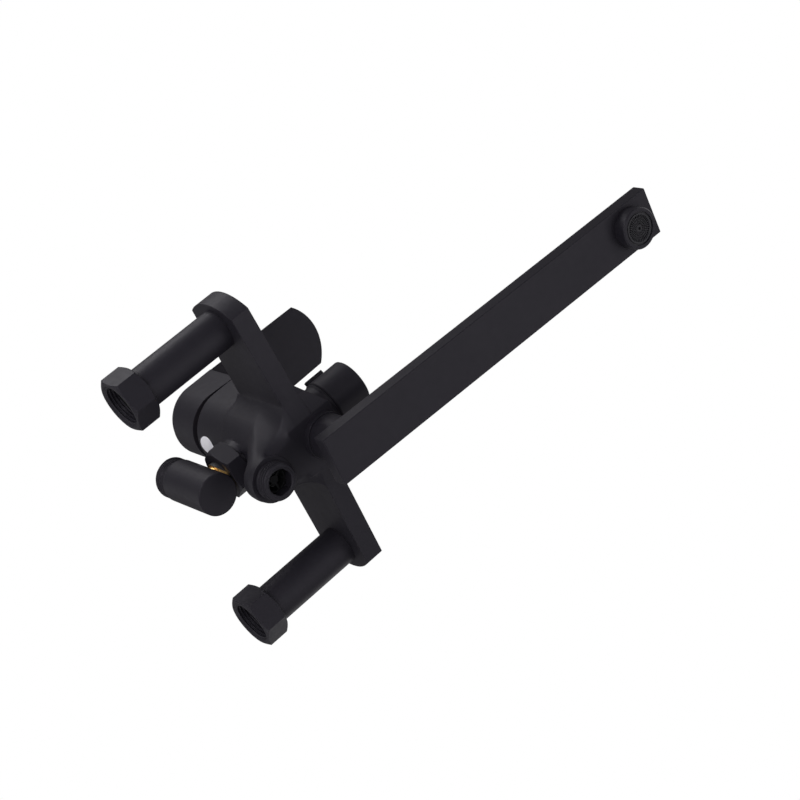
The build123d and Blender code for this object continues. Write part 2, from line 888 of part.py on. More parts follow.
# Lever handle with its grub screw and the plug over it
with BuildPart() as lever_handle:
    extrude(round_back(skirt_foot, handle_radius, skirt_front_y), amount=plate_z - skirt_foot)
    extrude(
        round_back(skirt_foot, skirt_inner, skirt_front_y + skirt_wall),
        amount=plate_z - skirt_foot,
        mode=Mode.SUBTRACT,
    )
    hub_back_y = cartridge_y + stem_width / 2 + hub_wall
    hub_depth = hub_back_y - skirt_front_y
    extrude(
        block((0, skirt_front_y + hub_depth / 2, hub_foot), 2 * hub_half_width, hub_depth),
        amount=plate_z - hub_foot,
    )
    with BuildSketch(Plane(origin=(0, cartridge_y, plate_z))):
        with BuildLine():
            plate_right = Vector(handle_radius, 0, 0).rotate(Axis.Z, -plate_taper)
            plate_left = Vector(-handle_radius, 0, 0).rotate(Axis.Z, plate_taper)
            ThreePointArc(plate_right, (0, handle_radius), plate_left)
            left_side = PolarLine(plate_left, plate_reach, angle=plate_taper - quarter_turn)
            right_side = PolarLine(plate_right, plate_reach, angle=-plate_taper - quarter_turn)
            ThreePointArc(left_side @ 1, (0, (left_side @ 1).Y - plate_tip), right_side @ 1)
        make_face()
    extrude(amount=plate_thickness, taper=plate_draft)
    chamfer(lever_handle.edges().group_by(Axis.Z)[-1], plate_edge)
    # The skirt's lower edge rises toward the back, which lets the lever lift
    with BuildSketch(Plane.YZ):
        with BuildLine():
            Polyline(
                (skirt_front_y, skirt_foot),
                (handle_back_y, skirt_foot),
                (handle_back_y, column_top + skirt_gap_rear),
                close=True,
            )
        make_face()
    extrude(amount=handle_radius, both=True, mode=Mode.SUBTRACT)
    extrude(
        block((0, cartridge_y, hub_foot), stem_width + 2 * thread_gap, stem_width + 2 * thread_gap),
        amount=stem_top - hub_foot + end_gap,
        mode=Mode.SUBTRACT,
    )
    extrude(
        disc((0, skirt_front_y, set_screw_z), (0, 1, 0), set_screw_radius + thread_gap),
        amount=cartridge_y - skirt_front_y,
        mode=Mode.SUBTRACT,
    )
    extrude(
        disc((0, skirt_front_y, set_screw_z), (0, 1, 0), plug_radius + thread_gap),
        amount=plug_depth,
        mode=Mode.SUBTRACT,
    )
lever_handle.part.label = "lever_handle"
export_step(lever_handle.part, "parts/lever_handle.step")

with BuildPart() as handle_set_screw:
    screw_front_y = skirt_front_y + plug_depth + end_gap
    extrude(
        disc((0, screw_front_y, set_screw_z), (0, 1, 0), set_screw_radius),
        amount=cartridge_y - stem_width / 2 - screw_front_y,
    )
    with BuildSketch(Plane(origin=(0, screw_front_y, set_screw_z), z_dir=(0, 1, 0))):
        RegularPolygon(set_screw_radius / 2, hexagon, major_radius=False)
    extrude(amount=set_screw_radius, mode=Mode.SUBTRACT)
handle_set_screw.part.label = "handle_set_screw"
export_step(handle_set_screw.part, "parts/handle_set_screw.step")

with BuildPart() as handle_plug:
    extrude(disc((0, skirt_front_y, set_screw_z), (0, 1, 0), plug_radius), amount=plug_depth)
handle_plug.part.label = "handle_plug"
export_step(handle_plug.part, "parts/handle_plug.step")

# Diverter: fixed sleeve and collar, turning rotor and knob
with BuildPart() as diverter_sleeve:
    sleeve_back_y = diverter_end_y - end_gap
    revolve(
        outward(
            0,
            diverter_height,
            [
                (sleeve_inner, sleeve_front_y),
                (diverter_bore - thread_gap, sleeve_front_y),
                (diverter_bore - thread_gap, sleeve_back_y),
                (riser_drop_radius, sleeve_back_y),
                (riser_drop_radius, sleeve_back_y - sleeve_wall),
                (sleeve_inner, sleeve_back_y - sleeve_wall),
            ],
        ),
        axis=diverter_axis,
    )
    extrude(
        disc((0, mixed_port_y, diverter_height - diverter_bore), (0, 0, 1), sleeve_port_radius),
        amount=2 * diverter_bore,
        mode=Mode.SUBTRACT,
    )
    extrude(
        disc((0, neck_y, diverter_height), (0, 0, -1), sleeve_port_radius),
        amount=diverter_bore,
        mode=Mode.SUBTRACT,
    )
diverter_sleeve.part.label = "diverter_sleeve"
export_step(diverter_sleeve.part, "parts/diverter_sleeve.step")

with BuildPart() as diverter_rotor:
    rotor_back_y = sleeve_back_y - sleeve_wall - end_gap
    rotor_front_y = sleeve_front_y + end_gap
    revolve(
        outward(
            0,
            diverter_height,
            [
                (0, spindle_front_y),
                (spindle_radius, spindle_front_y),
                (spindle_radius, rotor_front_y),
                (rotor_radius, rotor_front_y),
                (rotor_radius, rotor_back_y),
                (rotor_bore, rotor_back_y),
                (rotor_bore, neck_y),
                (0, neck_y - rotor_bore),
            ],
        ),
        axis=diverter_axis,
    )
    extrude(
        disc((0, mixed_port_y, diverter_height), (0, 0, 1), sleeve_port_radius),
        amount=rotor_radius,
        mode=Mode.SUBTRACT,
    )
    extrude(
        disc((0, neck_y, diverter_height), (0, 0, -1), sleeve_port_radius),
        amount=rotor_radius,
        mode=Mode.SUBTRACT,
    )
    extrude(
        disc((0, spindle_front_y, diverter_height), (0, 1, 0), knob_screw_radius + thread_gap),
        amount=knob_screw_length,
        mode=Mode.SUBTRACT,
    )
diverter_rotor.part.label = "diverter_rotor"
export_step(diverter_rotor.part, "parts/diverter_rotor.step")

with BuildPart() as diverter_collar:
    seal_seat = spindle_radius + spindle_seal_step + thread_gap
    seal_front_y = sleeve_front_y - spindle_seal_thickness - end_gap
    revolve(
        outward(
            0,
            diverter_height,
            [
                (spindle_radius + running_gap, collar_front_y),
                (collar_radius - edge_break, collar_front_y),
                (collar_radius, collar_front_y + edge_break),
                (collar_radius, housing_front_y),
                (diverter_bore - thread_gap, housing_front_y),
                (diverter_bore - thread_gap, sleeve_front_y),
                (seal_seat, sleeve_front_y),
                (seal_seat, seal_front_y),
                (spindle_radius + running_gap, seal_front_y),
            ],
        ),
        axis=diverter_axis,
    )
diverter_collar.part.label = "diverter_collar"
export_step(diverter_collar.part, "parts/diverter_collar.step")

with BuildPart() as spindle_seal:
    revolve(
        outward(
            0,
            diverter_height,
            [
                (spindle_radius + running_gap, seal_front_y),
                (spindle_radius + spindle_seal_step, seal_front_y),
                (spindle_radius + spindle_seal_step, seal_front_y + spindle_seal_thickness),
                (spindle_radius + running_gap, seal_front_y + spindle_seal_thickness),
            ],
        ),
        axis=diverter_axis,
    )
spindle_seal.part.label = "spindle_seal"
export_step(spindle_seal.part, "parts/spindle_seal.step")

with BuildPart() as diverter_knob:
    revolve(
        outward(
            0,
            diverter_height,
            [
                (spindle_radius + thread_gap, knob_back_y),
                (knob_radius - knob_rear_edge, knob_back_y),
                (knob_radius, knob_back_y - knob_rear_edge),
                (knob_radius, knob_front_y + knob_edge),
                (knob_radius - knob_edge, knob_front_y),
                (knob_cap_radius + thread_gap, knob_front_y),
                (knob_cap_radius + thread_gap, cap_seat_y),
                (knob_screw_head_radius + end_gap, cap_seat_y),
                (knob_screw_head_radius + end_gap, screw_seat_y),
                (knob_screw_radius + thread_gap, screw_seat_y),
                (knob_screw_radius + thread_gap, knob_web_y),
                (spindle_radius + thread_gap, knob_web_y),
            ],
        ),
        axis=diverter_axis,
    )
    fin_way = Vector(1, 0, 0).rotate(Axis.Y, -fin_angle)
    with BuildSketch(Plane((0, knob_back_y, diverter_height), x_dir=fin_way, z_dir=(0, -1, 0))):
        with Locations(((fin_root + fin_radius) / 2, 0)):
            Rectangle(fin_radius - fin_root, fin_thickness)
    extrude(amount=fin_length)
diverter_knob.part.label = "diverter_knob"
export_step(diverter_knob.part, "parts/diverter_knob.step")

with BuildPart() as knob_screw:
    revolve(
        outward(
            0,
            diverter_height,
            [
                (0, screw_seat_y + knob_screw_length),
                (knob_screw_radius, screw_seat_y + knob_screw_length),
                (knob_screw_radius, screw_seat_y),
                (knob_screw_head_radius, screw_seat_y),
                (knob_screw_head_radius, screw_seat_y - knob_screw_head),
                (0, screw_seat_y - knob_screw_head),
            ],
        ),
        axis=diverter_axis,
    )
knob_screw.part.label = "knob_screw"
export_step(knob_screw.part, "parts/knob_screw.step")

with BuildPart() as knob_cap:
    extrude(
        disc((0, knob_front_y, diverter_height), (0, 1, 0), knob_cap_radius),
        amount=knob_cap_thickness,
    )
knob_cap.part.label = "knob_cap"
export_step(knob_cap.part, "parts/knob_cap.step")

# Swivel spout
with BuildPart() as spout_collar:
    collar_inner = neck_spigot_radius + free_gap
    revolve(
        upright(
            0,
            neck_y,
            [
                (collar_inner, collar_foot),
                (spout_collar_radius, collar_foot),
                (spout_collar_radius, housing_bottom),
                (clip_bore - thread_gap, housing_bottom),
                (clip_bore - thread_gap, clip_foot - end_gap),
                (collar_inner, clip_foot - end_gap),
            ],
        ),
        axis=neck_axis,
    )
spout_collar.part.label = "spout_collar"
export_step(spout_collar.part, "parts/spout_collar.step")

with BuildPart() as spout_neck:
    clip_groove = neck_spigot_radius - clip_step
    spigot_top = neck_top + neck_spigot_length
    revolve(
        upright(
            0,
            neck_y,
            [
                (neck_bore, spout_top - spout_roof),
                (neck_foot_radius, spout_top - spout_roof),
                (neck_foot_radius, spout_top),
                (neck_radius, spout_top),
                (neck_radius, neck_top),
                (neck_spigot_radius, neck_top),
                (neck_spigot_radius, clip_foot - thread_gap),
                (clip_groove, clip_foot - thread_gap),
                (clip_groove, clip_foot + clip_thickness + thread_gap),
                (neck_spigot_radius, clip_foot + clip_thickness + thread_gap),
                (neck_spigot_radius, lower_seal_z - seal_radius - thread_gap),
                (seal_groove, lower_seal_z - seal_radius - thread_gap),
                (seal_groove, lower_seal_z + seal_radius + thread_gap),
                (neck_spigot_radius, lower_seal_z + seal_radius + thread_gap),
                (neck_spigot_radius, upper_seal_z - seal_radius - thread_gap),
                (seal_groove, upper_seal_z - seal_radius - thread_gap),
                (seal_groove, upper_seal_z + seal_radius + thread_gap),
                (neck_spigot_radius, upper_seal_z + seal_radius + thread_gap),
                (neck_spigot_radius, spigot_top),
                (neck_bore, spigot_top),
            ],
        ),
        axis=neck_axis,
    )
spout_neck.part.label = "spout_neck"
export_step(spout_neck.part, "parts/spout_neck.step")

seal_centre = neck_spigot_radius - running_gap - seal_radius
for name, seal_z in (("spout_upper_seal", upper_seal_z), ("spout_lower_seal", lower_seal_z)):
    with BuildPart() as spout_seal:
        with BuildSketch(Plane(origin=(0, neck_y, 0), x_dir=(1, 0, 0), z_dir=(0, -1, 0))):
            with Locations((seal_centre, seal_z)):
                Circle(seal_radius - thread_gap / 2)
        revolve(axis=neck_axis)
    spout_seal.part.label = name
    export_step(spout_seal.part, f"parts/{name}.step")

with BuildPart() as spout_clip:
    with BuildSketch(Plane(origin=(0, neck_y, clip_foot))):
        Circle(clip_radius)
        Circle(clip_groove + thread_gap, mode=Mode.SUBTRACT)
        with Locations((0, clip_radius)):
            Rectangle(clip_gap_width, 2 * clip_step + 2 * clip_gap_width, mode=Mode.SUBTRACT)
    extrude(amount=clip_thickness)
spout_clip.part.label = "spout_clip"
export_step(spout_clip.part, "parts/spout_clip.step")

spout_way = Vector(1, 0, 0).rotate(Axis.Z, spout_rest_swivel)
with BuildPart() as spout_bar:
    with BuildSketch(Plane((0, neck_y, spout_foot), x_dir=spout_way, z_dir=(0, 0, 1))):
        with Locations((0, (spout_heel - spout_reach) / 2)):
            Rectangle(spout_width, spout_heel + spout_reach)
    extrude(amount=spout_thickness)
    fillet(spout_bar.edges(), edge_break)
    with BuildSketch(Plane((0, neck_y, spout_foot + spout_floor), x_dir=spout_way, z_dir=(0, 0, 1))):
        with Locations((0, (neck_bore + aerator_margin - spout_reach - aerator_opening) / 2)):
            Rectangle(spout_channel_width, neck_bore + spout_reach - aerator_margin + aerator_opening)
    extrude(amount=spout_thickness - spout_floor - spout_roof, mode=Mode.SUBTRACT)
    extrude(
        disc((0, neck_y, spout_top), (0, 0, -1), neck_foot_radius + thread_gap),
        amount=spout_roof + thread_gap,
        mode=Mode.SUBTRACT,
    )
    extrude(
        disc((aerator_x, aerator_y, spout_foot), (0, 0, 1), aerator_spigot_radius + thread_gap),
        amount=aerator_seat - spout_foot,
        mode=Mode.SUBTRACT,
    )
spout_bar.part.label = "spout_bar"
export_step(spout_bar.part, "parts/spout_bar.step")

# Aerator
with BuildPart() as aerator_housing:
    revolve(
        upright(
            aerator_x,
            aerator_y,
            [
                (aerator_opening, aerator_foot),
                (aerator_radius - edge_break, aerator_foot),
                (aerator_radius, aerator_foot + edge_break),
                (aerator_radius, spout_foot),
                (aerator_spigot_radius, spout_foot),
                (aerator_spigot_radius, aerator_spigot_top),
                (aerator_inner, aerator_spigot_top),
                (aerator_inner, insert_flange_z),
                (aerator_opening, insert_flange_z),
            ],
        ),
        axis=aerator_axis,
    )
aerator_housing.part.label = "aerator_housing"
export_step(aerator_housing.part, "parts/aerator_housing.step")

with BuildPart() as aerator_insert:
    insert_face_z = aerator_foot + end_gap
    insert_roof_z = insert_face_z + insert_face_thickness
    revolve(
        upright(
            aerator_x,
            aerator_y,
            [
                (0, insert_face_z),
                (insert_radius, insert_face_z),
                (insert_radius, insert_flange_z),
                (insert_flange_radius, insert_flange_z),
                (insert_flange_radius, insert_flange_z + insert_height),
                (insert_flange_radius - insert_wall, insert_flange_z + insert_height),
                (insert_flange_radius - insert_wall, insert_roof_z),
                (0, insert_roof_z),
            ],
        ),
        axis=aerator_axis,
    )
    with BuildSketch(Plane(origin=(aerator_x, aerator_y, insert_face_z))):
        Circle(insert_hole_radius)
        for ring in range(1, insert_rings + 1):
            with PolarLocations(ring * insert_ring_pitch, ring * insert_first_ring):
                Circle(insert_hole_radius)
    extrude(amount=insert_face_thickness, mode=Mode.SUBTRACT)
aerator_insert.part.label = "aerator_insert"
export_step(aerator_insert.part, "parts/aerator_insert.step")

with BuildPart() as aerator_seal:
    revolve(
        upright(
            aerator_x,
            aerator_y,
            [
                (insert_flange_radius - insert_wall, aerator_spigot_top),
                (aerator_spigot_radius, aerator_spigot_top),
                (aerator_spigot_radius, aerator_seat),
                (insert_flange_radius - insert_wall, aerator_seat),
            ],
        ),
        axis=aerator_axis,
    )
aerator_seal.part.label = "aerator_seal"
export_step(aerator_seal.part, "parts/aerator_seal.step")

# Hose outlet with its check valve
with BuildPart() as hose_outlet_nipple:
    revolve(
        upright(
            0,
            outlet_y,
            [
                (0, nipple_foot),
                (hose_thread_radius - hose_thread_chamfer, nipple_foot),
                (hose_thread_radius, nipple_foot + hose_thread_chamfer),
                (hose_thread_radius, boss_foot),
                (nipple_spigot_radius, boss_foot),
                (nipple_spigot_radius, nipple_top),
                (0, nipple_top),
            ],
        ),
        axis=outlet_axis,
    )
    with BuildSketch(Plane(origin=(0, outlet_y, nipple_foot))):
        RegularPolygon(hose_socket_flats / 2, hexagon, major_radius=False)
    extrude(amount=hose_socket_depth, mode=Mode.SUBTRACT)
    extrude(
        disc((0, outlet_y, valve_foot), (0, 0, 1), valve_radius + thread_gap),
        amount=nipple_top - valve_foot,
        mode=Mode.SUBTRACT,
    )
hose_outlet_nipple.part.label = "hose_outlet_nipple"
export_step(hose_outlet_nipple.part, "parts/hose_outlet_nipple.step")

with BuildPart() as outlet_seal:
    revolve(
        upright(
            0,
            outlet_y,
            [
                (valve_radius - valve_wall, nipple_top),
                (nipple_spigot_radius, nipple_top),
                (nipple_spigot_radius, outlet_bore_top),
                (valve_radius - valve_wall, outlet_bore_top),
            ],
        ),
        axis=outlet_axis,
    )
outlet_seal.part.label = "outlet_seal"
export_step(outlet_seal.part, "parts/outlet_seal.step")

with BuildPart() as check_valve_body:
    revolve(
        upright(
            0,
            outlet_y,
            [
                (valve_radius - valve_wall, valve_foot),
                (valve_radius, valve_foot),
                (valve_radius, nipple_top),
                (valve_seat_radius, nipple_top),
                (valve_seat_radius, seat_z),
                (valve_radius - valve_wall, seat_z),
            ],
        ),
        axis=outlet_axis,
    )
    with BuildSketch(Plane(origin=(0, outlet_y, valve_foot))):
        Circle(valve_hub_radius)
        with PolarLocations(valve_radius / 2, 3):
            Rectangle(valve_radius - valve_wall / 2, valve_web_width)
        Circle(poppet_stem_radius + running_gap, mode=Mode.SUBTRACT)
    extrude(amount=valve_spider_thickness)
check_valve_body.part.label = "check_valve_body"
export_step(check_valve_body.part, "parts/check_valve_body.step")

with BuildPart() as check_valve_poppet:
    revolve(
        upright(
            0,
            outlet_y,
            [
                (0, valve_foot),
                (poppet_stem_radius, valve_foot),
                (poppet_stem_radius, poppet_foot),
                (poppet_radius, poppet_foot),
                (poppet_radius, poppet_top),
                (0, poppet_top),
            ],
        ),
        axis=outlet_axis,
    )
check_valve_poppet.part.label = "check_valve_poppet"
export_step(check_valve_poppet.part, "parts/check_valve_poppet.step")

with BuildPart() as check_valve_spring:
    spring_foot = spider_top + spring_wire + thread_gap
    spring_height = poppet_foot - spring_wire - thread_gap - spring_foot
    with BuildLine():
        coil = Helix(
            pitch=spring_height / spring_turns,
            height=spring_height,
            radius=spring_radius,
            center=(0, outlet_y, spring_foot),
        )
    with BuildSketch(Plane(origin=coil @ 0, z_dir=coil % 0)):
        Circle(spring_wire)
    sweep(path=coil, is_frenet=True)
check_valve_spring.part.label = "check_valve_spring"
export_step(check_valve_spring.part, "parts/check_valve_spring.step")

# Riser union and elbow
with BuildPart() as riser_nipple:
    revolve(
        outward(
            0,
            riser_height,
            [
                (riser_bore, boss_back_y - riser_port_depth + 2 * riser_drop_radius),
                (riser_port_radius - thread_gap, boss_back_y - riser_port_depth + 2 * riser_drop_radius),
                (riser_port_radius - thread_gap, boss_back_y),
                (riser_thread_radius, boss_back_y),
                (riser_thread_radius, riser_thread_y),
                (riser_bore, riser_thread_y),
            ],
        ),
        axis=riser_axis,
    )
riser_nipple.part.label = "riser_nipple"
export_step(riser_nipple.part, "parts/riser_nipple.step")

with BuildPart() as riser_seal:
    revolve(
        outward(
            0,
            riser_height,
            [
                (riser_bore, riser_thread_y),
                (tail_radius, riser_thread_y),
                (tail_radius, tail_y),
                (riser_bore, tail_y),
            ],
        ),
        axis=riser_axis,
    )
riser_seal.part.label = "riser_seal"
export_step(riser_seal.part, "parts/riser_seal.step")

with BuildPart() as riser_tail:
    revolve(
        outward(
            0,
            riser_height,
            [
                (riser_bore, tail_y),
                (riser_thread_radius, tail_y),
                (riser_thread_radius, tail_shoulder_y),
                (tail_radius, tail_shoulder_y),
                (tail_radius, tail_end_y),
                (tail_spigot_radius, tail_end_y),
                (tail_spigot_radius, tail_end_y + tail_spigot_length),
                (riser_bore, tail_end_y + tail_spigot_length),
            ],
        ),
        axis=riser_axis,
    )
    extrude(
        disc((0, riser_y, elbow_foot), (0, 0, 1), elbow_bore),
        amount=elbow_top - elbow_foot,
        mode=Mode.SUBTRACT,
    )
riser_tail.part.label = "riser_tail"
export_step(riser_tail.part, "parts/riser_tail.step")

with BuildPart() as riser_union_nut:
    union_front_y = boss_back_y + end_gap
    with BuildSketch(Plane(origin=(0, union_back_y, riser_height), x_dir=(1, 0, 0), z_dir=(0, -1, 0))):
        RegularPolygon(union_flats / 2, hexagon, major_radius=False, rotation=union_turn)
    extrude(amount=union_back_y - union_front_y)
    union_corner = union_flats / 2 + 2 * union_chamfer
    revolve(
        outward(
            0,
            riser_height,
            [
                (0, union_front_y),
                (union_flats / 2, union_front_y),
                (union_corner, union_front_y + union_chamfer),
                (union_corner, union_back_y - union_chamfer),
                (union_flats / 2, union_back_y),
                (0, union_back_y),
            ],
        ),
        axis=riser_axis,
        mode=Mode.INTERSECT,
    )
    extrude(
        disc((0, union_front_y, riser_height), (0, 1, 0), union_inner),
        amount=union_lip_y - union_front_y,
        mode=Mode.SUBTRACT,
    )
    extrude(
        disc((0, union_lip_y, riser_height), (0, 1, 0), tail_radius + end_gap),
        amount=union_lip,
        mode=Mode.SUBTRACT,
    )
riser_union_nut.part.label = "riser_union_nut"
export_step(riser_union_nut.part, "parts/riser_union_nut.step")

with BuildPart() as riser_elbow:
    revolve(
        upright(
            0,
            riser_y,
            [
                (0, elbow_foot),
                (elbow_radius - edge_break, elbow_foot),
                (elbow_radius, elbow_foot + edge_break),
                (elbow_radius, elbow_top),
                (elbow_thread_radius, elbow_top),
                (elbow_thread_radius, elbow_thread_top - elbow_thread_chamfer),
                (elbow_thread_radius - elbow_thread_chamfer, elbow_thread_top),
                (elbow_bore, elbow_thread_top),
                (elbow_bore, elbow_foot + elbow_floor),
                (0, elbow_foot + elbow_floor),
            ],
        ),
        axis=elbow_axis,
    )
    extrude(
        disc((0, tail_end_y, riser_height), (0, -1, 0), tail_radius + end_gap),
        amount=elbow_radius,
        mode=Mode.SUBTRACT,
    )
    extrude(
        disc((0, tail_end_y, riser_height), (0, 1, 0), tail_spigot_radius + thread_gap),
        amount=riser_y - tail_end_y,
        mode=Mode.SUBTRACT,
    )
riser_elbow.part.label = "riser_elbow"
export_step(riser_elbow.part, "parts/riser_elbow.step")

# Blank label wrapped on the column's back
with BuildPart() as blank_label:
    label_inner = column_radius + label_gap
    revolve(
        upright(
            0,
            cartridge_y,
            [
                (label_inner, label_z - label_half_height),
                (label_inner + label_thickness, label_z - label_half_height),
                (label_inner + label_thickness, label_z + label_half_height),
                (label_inner, label_z + label_half_height),
            ],
        ),
        axis=cartridge_axis,
    )
    with BuildSketch(Plane(origin=(0, cartridge_y, 0), x_dir=(1, 0, 0), z_dir=(0, 1, 0))):
        with Locations((label_x, -label_z)):
            Ellipse(label_half_width, label_half_height)
    extrude(amount=2 * column_radius, mode=Mode.INTERSECT)
blank_label.part.label = "blank_label"
export_step(blank_label.part, "parts/blank_label.step")
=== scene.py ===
# %% [markdown]
# # A matte black bath and shower mixer
# The mixer hangs on the wall by two supply legs. The photograph shows it off the wall, from behind and
# below. The solids come from CAD as a fixed frame. Here they get their finishes, and the pieces whose
# threads and cast edges a plain solid lacks are worked out again as surfaces.

# %% Load the frame
import json

import bmesh
import bpy
import numpy as np
from mathutils import Matrix, Vector


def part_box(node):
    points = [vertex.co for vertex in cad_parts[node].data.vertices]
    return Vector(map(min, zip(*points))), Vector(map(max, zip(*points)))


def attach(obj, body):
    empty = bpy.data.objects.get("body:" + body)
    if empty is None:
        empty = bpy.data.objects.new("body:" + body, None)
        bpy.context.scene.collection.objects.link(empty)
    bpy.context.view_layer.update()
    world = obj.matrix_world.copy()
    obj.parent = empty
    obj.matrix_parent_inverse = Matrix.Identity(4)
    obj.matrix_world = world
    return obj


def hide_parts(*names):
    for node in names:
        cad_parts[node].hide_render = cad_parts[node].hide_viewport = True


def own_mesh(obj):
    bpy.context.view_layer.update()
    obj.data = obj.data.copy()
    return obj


MM = 0.001
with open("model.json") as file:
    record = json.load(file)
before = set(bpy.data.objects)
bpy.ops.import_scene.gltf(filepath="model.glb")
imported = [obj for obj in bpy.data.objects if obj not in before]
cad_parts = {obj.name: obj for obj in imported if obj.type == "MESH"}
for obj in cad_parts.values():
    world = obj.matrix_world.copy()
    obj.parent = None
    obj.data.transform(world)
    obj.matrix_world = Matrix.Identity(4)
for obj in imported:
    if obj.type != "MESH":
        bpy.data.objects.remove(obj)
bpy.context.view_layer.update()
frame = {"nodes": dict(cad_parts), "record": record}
scene = bpy.context.scene
scene.view_settings.view_transform = "Standard"

# %% [markdown]
# ## Camera
# The photograph looks up at the mixer from the place where the wall would be. The place, the turn and the
# focal length of the camera were solved from it: the two inlets are 150 mm apart, their legs are
# parallel, and the spout is square to the bar. Three of the rows below say which way right, down and
# forward point in the room.

# %% Camera at the photograph's angle
CAMERA_PLACE = (-0.51027, 0.31284, -0.92759)
IMAGE_RIGHT = Vector((0.41097, -0.70046, -0.58349))
IMAGE_DOWN = Vector((0.78551, 0.59691, -0.16331))
IMAGE_FORWARD = Vector((0.46268, -0.39122, 0.79553))
SENSOR_WIDTH, FOCAL_LENGTH, NEAREST = 36.0, 93.43, 0.01

camera_data = bpy.data.cameras.new("camera")
camera_data.sensor_width = SENSOR_WIDTH
camera_data.lens = FOCAL_LENGTH
camera_data.clip_start = NEAREST
camera = bpy.data.objects.new("camera", camera_data)
turn = Matrix((IMAGE_RIGHT, -IMAGE_DOWN, -IMAGE_FORWARD)).transposed().to_4x4()
camera.matrix_world = Matrix.Translation(CAMERA_PLACE) @ turn
scene.collection.objects.link(camera)
scene.camera = camera
print("camera at", tuple(round(v, 3) for v in camera.location))

# %% [markdown]
# ## Node materials
# Every finish is built from the same few nodes: a cloudy noise in the piece's own coordinates, which is
# spread between two colours or two numbers. Most of the noise lies between 0.3 and 0.7, so that range is
# spread.

# %% Node helpers
CLOUD_LOW, CLOUD_HIGH = 0.3, 0.7


def node_material(name):
    """A new node material, with its tree and its Principled shader."""
    material = bpy.data.materials.new(name)
    material.use_nodes = True
    tree = material.node_tree
    return material, tree, tree.nodes["Principled BSDF"]


def set_inputs(node, settings):
    """Sets a node's inputs by name, with a low line for each space."""
    for socket, value in settings.items():
        node.inputs[socket.replace("_", " ")].default_value = value


def add(tree, kind, operation=None, **settings):
    """One node, with its operation and its inputs set."""
    node = tree.nodes.new(kind)
    if operation:
        node.operation = operation
    set_inputs(node, settings)
    return node


def noise(tree, scale, detail=3.0):
    """A cloudy pattern in the piece's own coordinates; scale is waves per metre."""
    place = add(tree, "ShaderNodeTexCoord")
    cloud = add(tree, "ShaderNodeTexNoise", Scale=scale, Detail=detail)
    tree.links.new(place.outputs["Object"], cloud.inputs["Vector"])
    return cloud.outputs["Fac"]


def ramp(tree, value, low, high):
    """A colour that goes from low to high over the range of the clouds."""
    blend = add(tree, "ShaderNodeValToRGB")
    first, last = blend.color_ramp.elements
    first.position, last.position = CLOUD_LOW, CLOUD_HIGH
    first.color, last.color = (*low, 1.0), (*high, 1.0)
    tree.links.new(value, blend.inputs["Fac"])
    return blend.outputs["Color"]


def between(tree, value, low, high):
    """A number that goes from low to high over the range of the clouds."""
    scale = add(
        tree, "ShaderNodeMapRange", From_Min=CLOUD_LOW, From_Max=CLOUD_HIGH, To_Min=low, To_Max=high
    )
    tree.links.new(value, scale.inputs["Value"])
    return scale.outputs["Result"]


# %% [markdown]
# ## Studio
# The light in the picture is soft, as in a tent: every side of the black coat shows some of it, and no side
# has a hard highlight. A dim even world stands for the tent, and the camera itself sees plain white.

# %% World light and white background
TENT, TENT_TINT, WHITE = 0.19, (1.0, 0.98, 1.0, 1.0), (1.0, 1.0, 1.0, 1.0)

world = bpy.data.worlds.new("studio")
scene.world = world
world.use_nodes = True
air = world.node_tree
air.nodes.clear()
soft = add(air, "ShaderNodeBackground", Color=TENT_TINT, Strength=TENT)
white = add(air, "ShaderNodeBackground", Color=WHITE)
ray = add(air, "ShaderNodeLightPath")
which = add(air, "ShaderNodeMixShader")
sky = add(air, "ShaderNodeOutputWorld")
air.links.new(ray.outputs["Is Camera Ray"], which.inputs["Fac"])
air.links.new(soft.outputs["Background"], which.inputs[1])
air.links.new(white.outputs["Background"], which.inputs[2])
air.links.new(which.outputs["Shader"], sky.inputs["Surface"])
print("world light has", len(air.nodes), "nodes")

# %% [markdown]
# Eleven soft boxes stand round the mixer and face it. Three below it light the undersides of the spout,
# the lever and the bar. Three on the wall's side and one behind the viewer light the backs. One in front
# and one on the right light the sides turned away, and two small ones on the left light the left nut's
# upper flat. Each row gives a place and a width in metres, and a power in watts.

# %% Soft boxes
TOWARDS = Vector((0.0, -0.05, 0.0))
SOFT_BOXES = {
    "under_right": ((0.414, -0.401, -0.720), 0.6, 0.76),
    "under_front": ((0.0, -0.590, -0.720), 0.6, 1.41),
    "under_wall": ((0.0, 0.540, -0.720), 0.6, 0.8),
    "wall_left": ((-0.720, 0.450, -0.300), 0.6, 3.2),
    "wall_right": ((0.636, 0.586, 0.0), 0.6, 1.5),
    "wall_high": ((0.0, 0.670, 0.540), 0.6, 0.9),
    "viewer": ((-0.690, 0.585, -1.200), 0.6, 4.0),
    "front": ((0.0, -0.950, 0.0), 0.6, 1.6),
    "right": ((0.816, -0.404, 0.145), 0.6, 0.82),
    "left_high": ((-0.420, -0.160, 0.330), 0.25, 0.75),
    "left_near": ((-0.450, 0.050, 0.200), 0.25, 0.50),
}
for name, (place, width, watts) in SOFT_BOXES.items():
    data = bpy.data.lights.new(name, "AREA")
    data.size, data.energy = width, watts
    lamp = bpy.data.objects.new(name, data)
    lamp.location = place
    lamp.rotation_euler = (TOWARDS - lamp.location).to_track_quat("-Z", "Y").to_euler()
    scene.collection.objects.link(lamp)
print("soft boxes:", len(SOFT_BOXES))

# %% [markdown]
# ## Floor
# The mixer hangs well above the floor, and the camera looks up from below it, so the floor only closes
# the studio and shows in views from above. It is pale, with a faint cloudiness as of painted board, and
# it glows for the camera alone, so that it stays pale in the dim tent with no more light on the mixer.

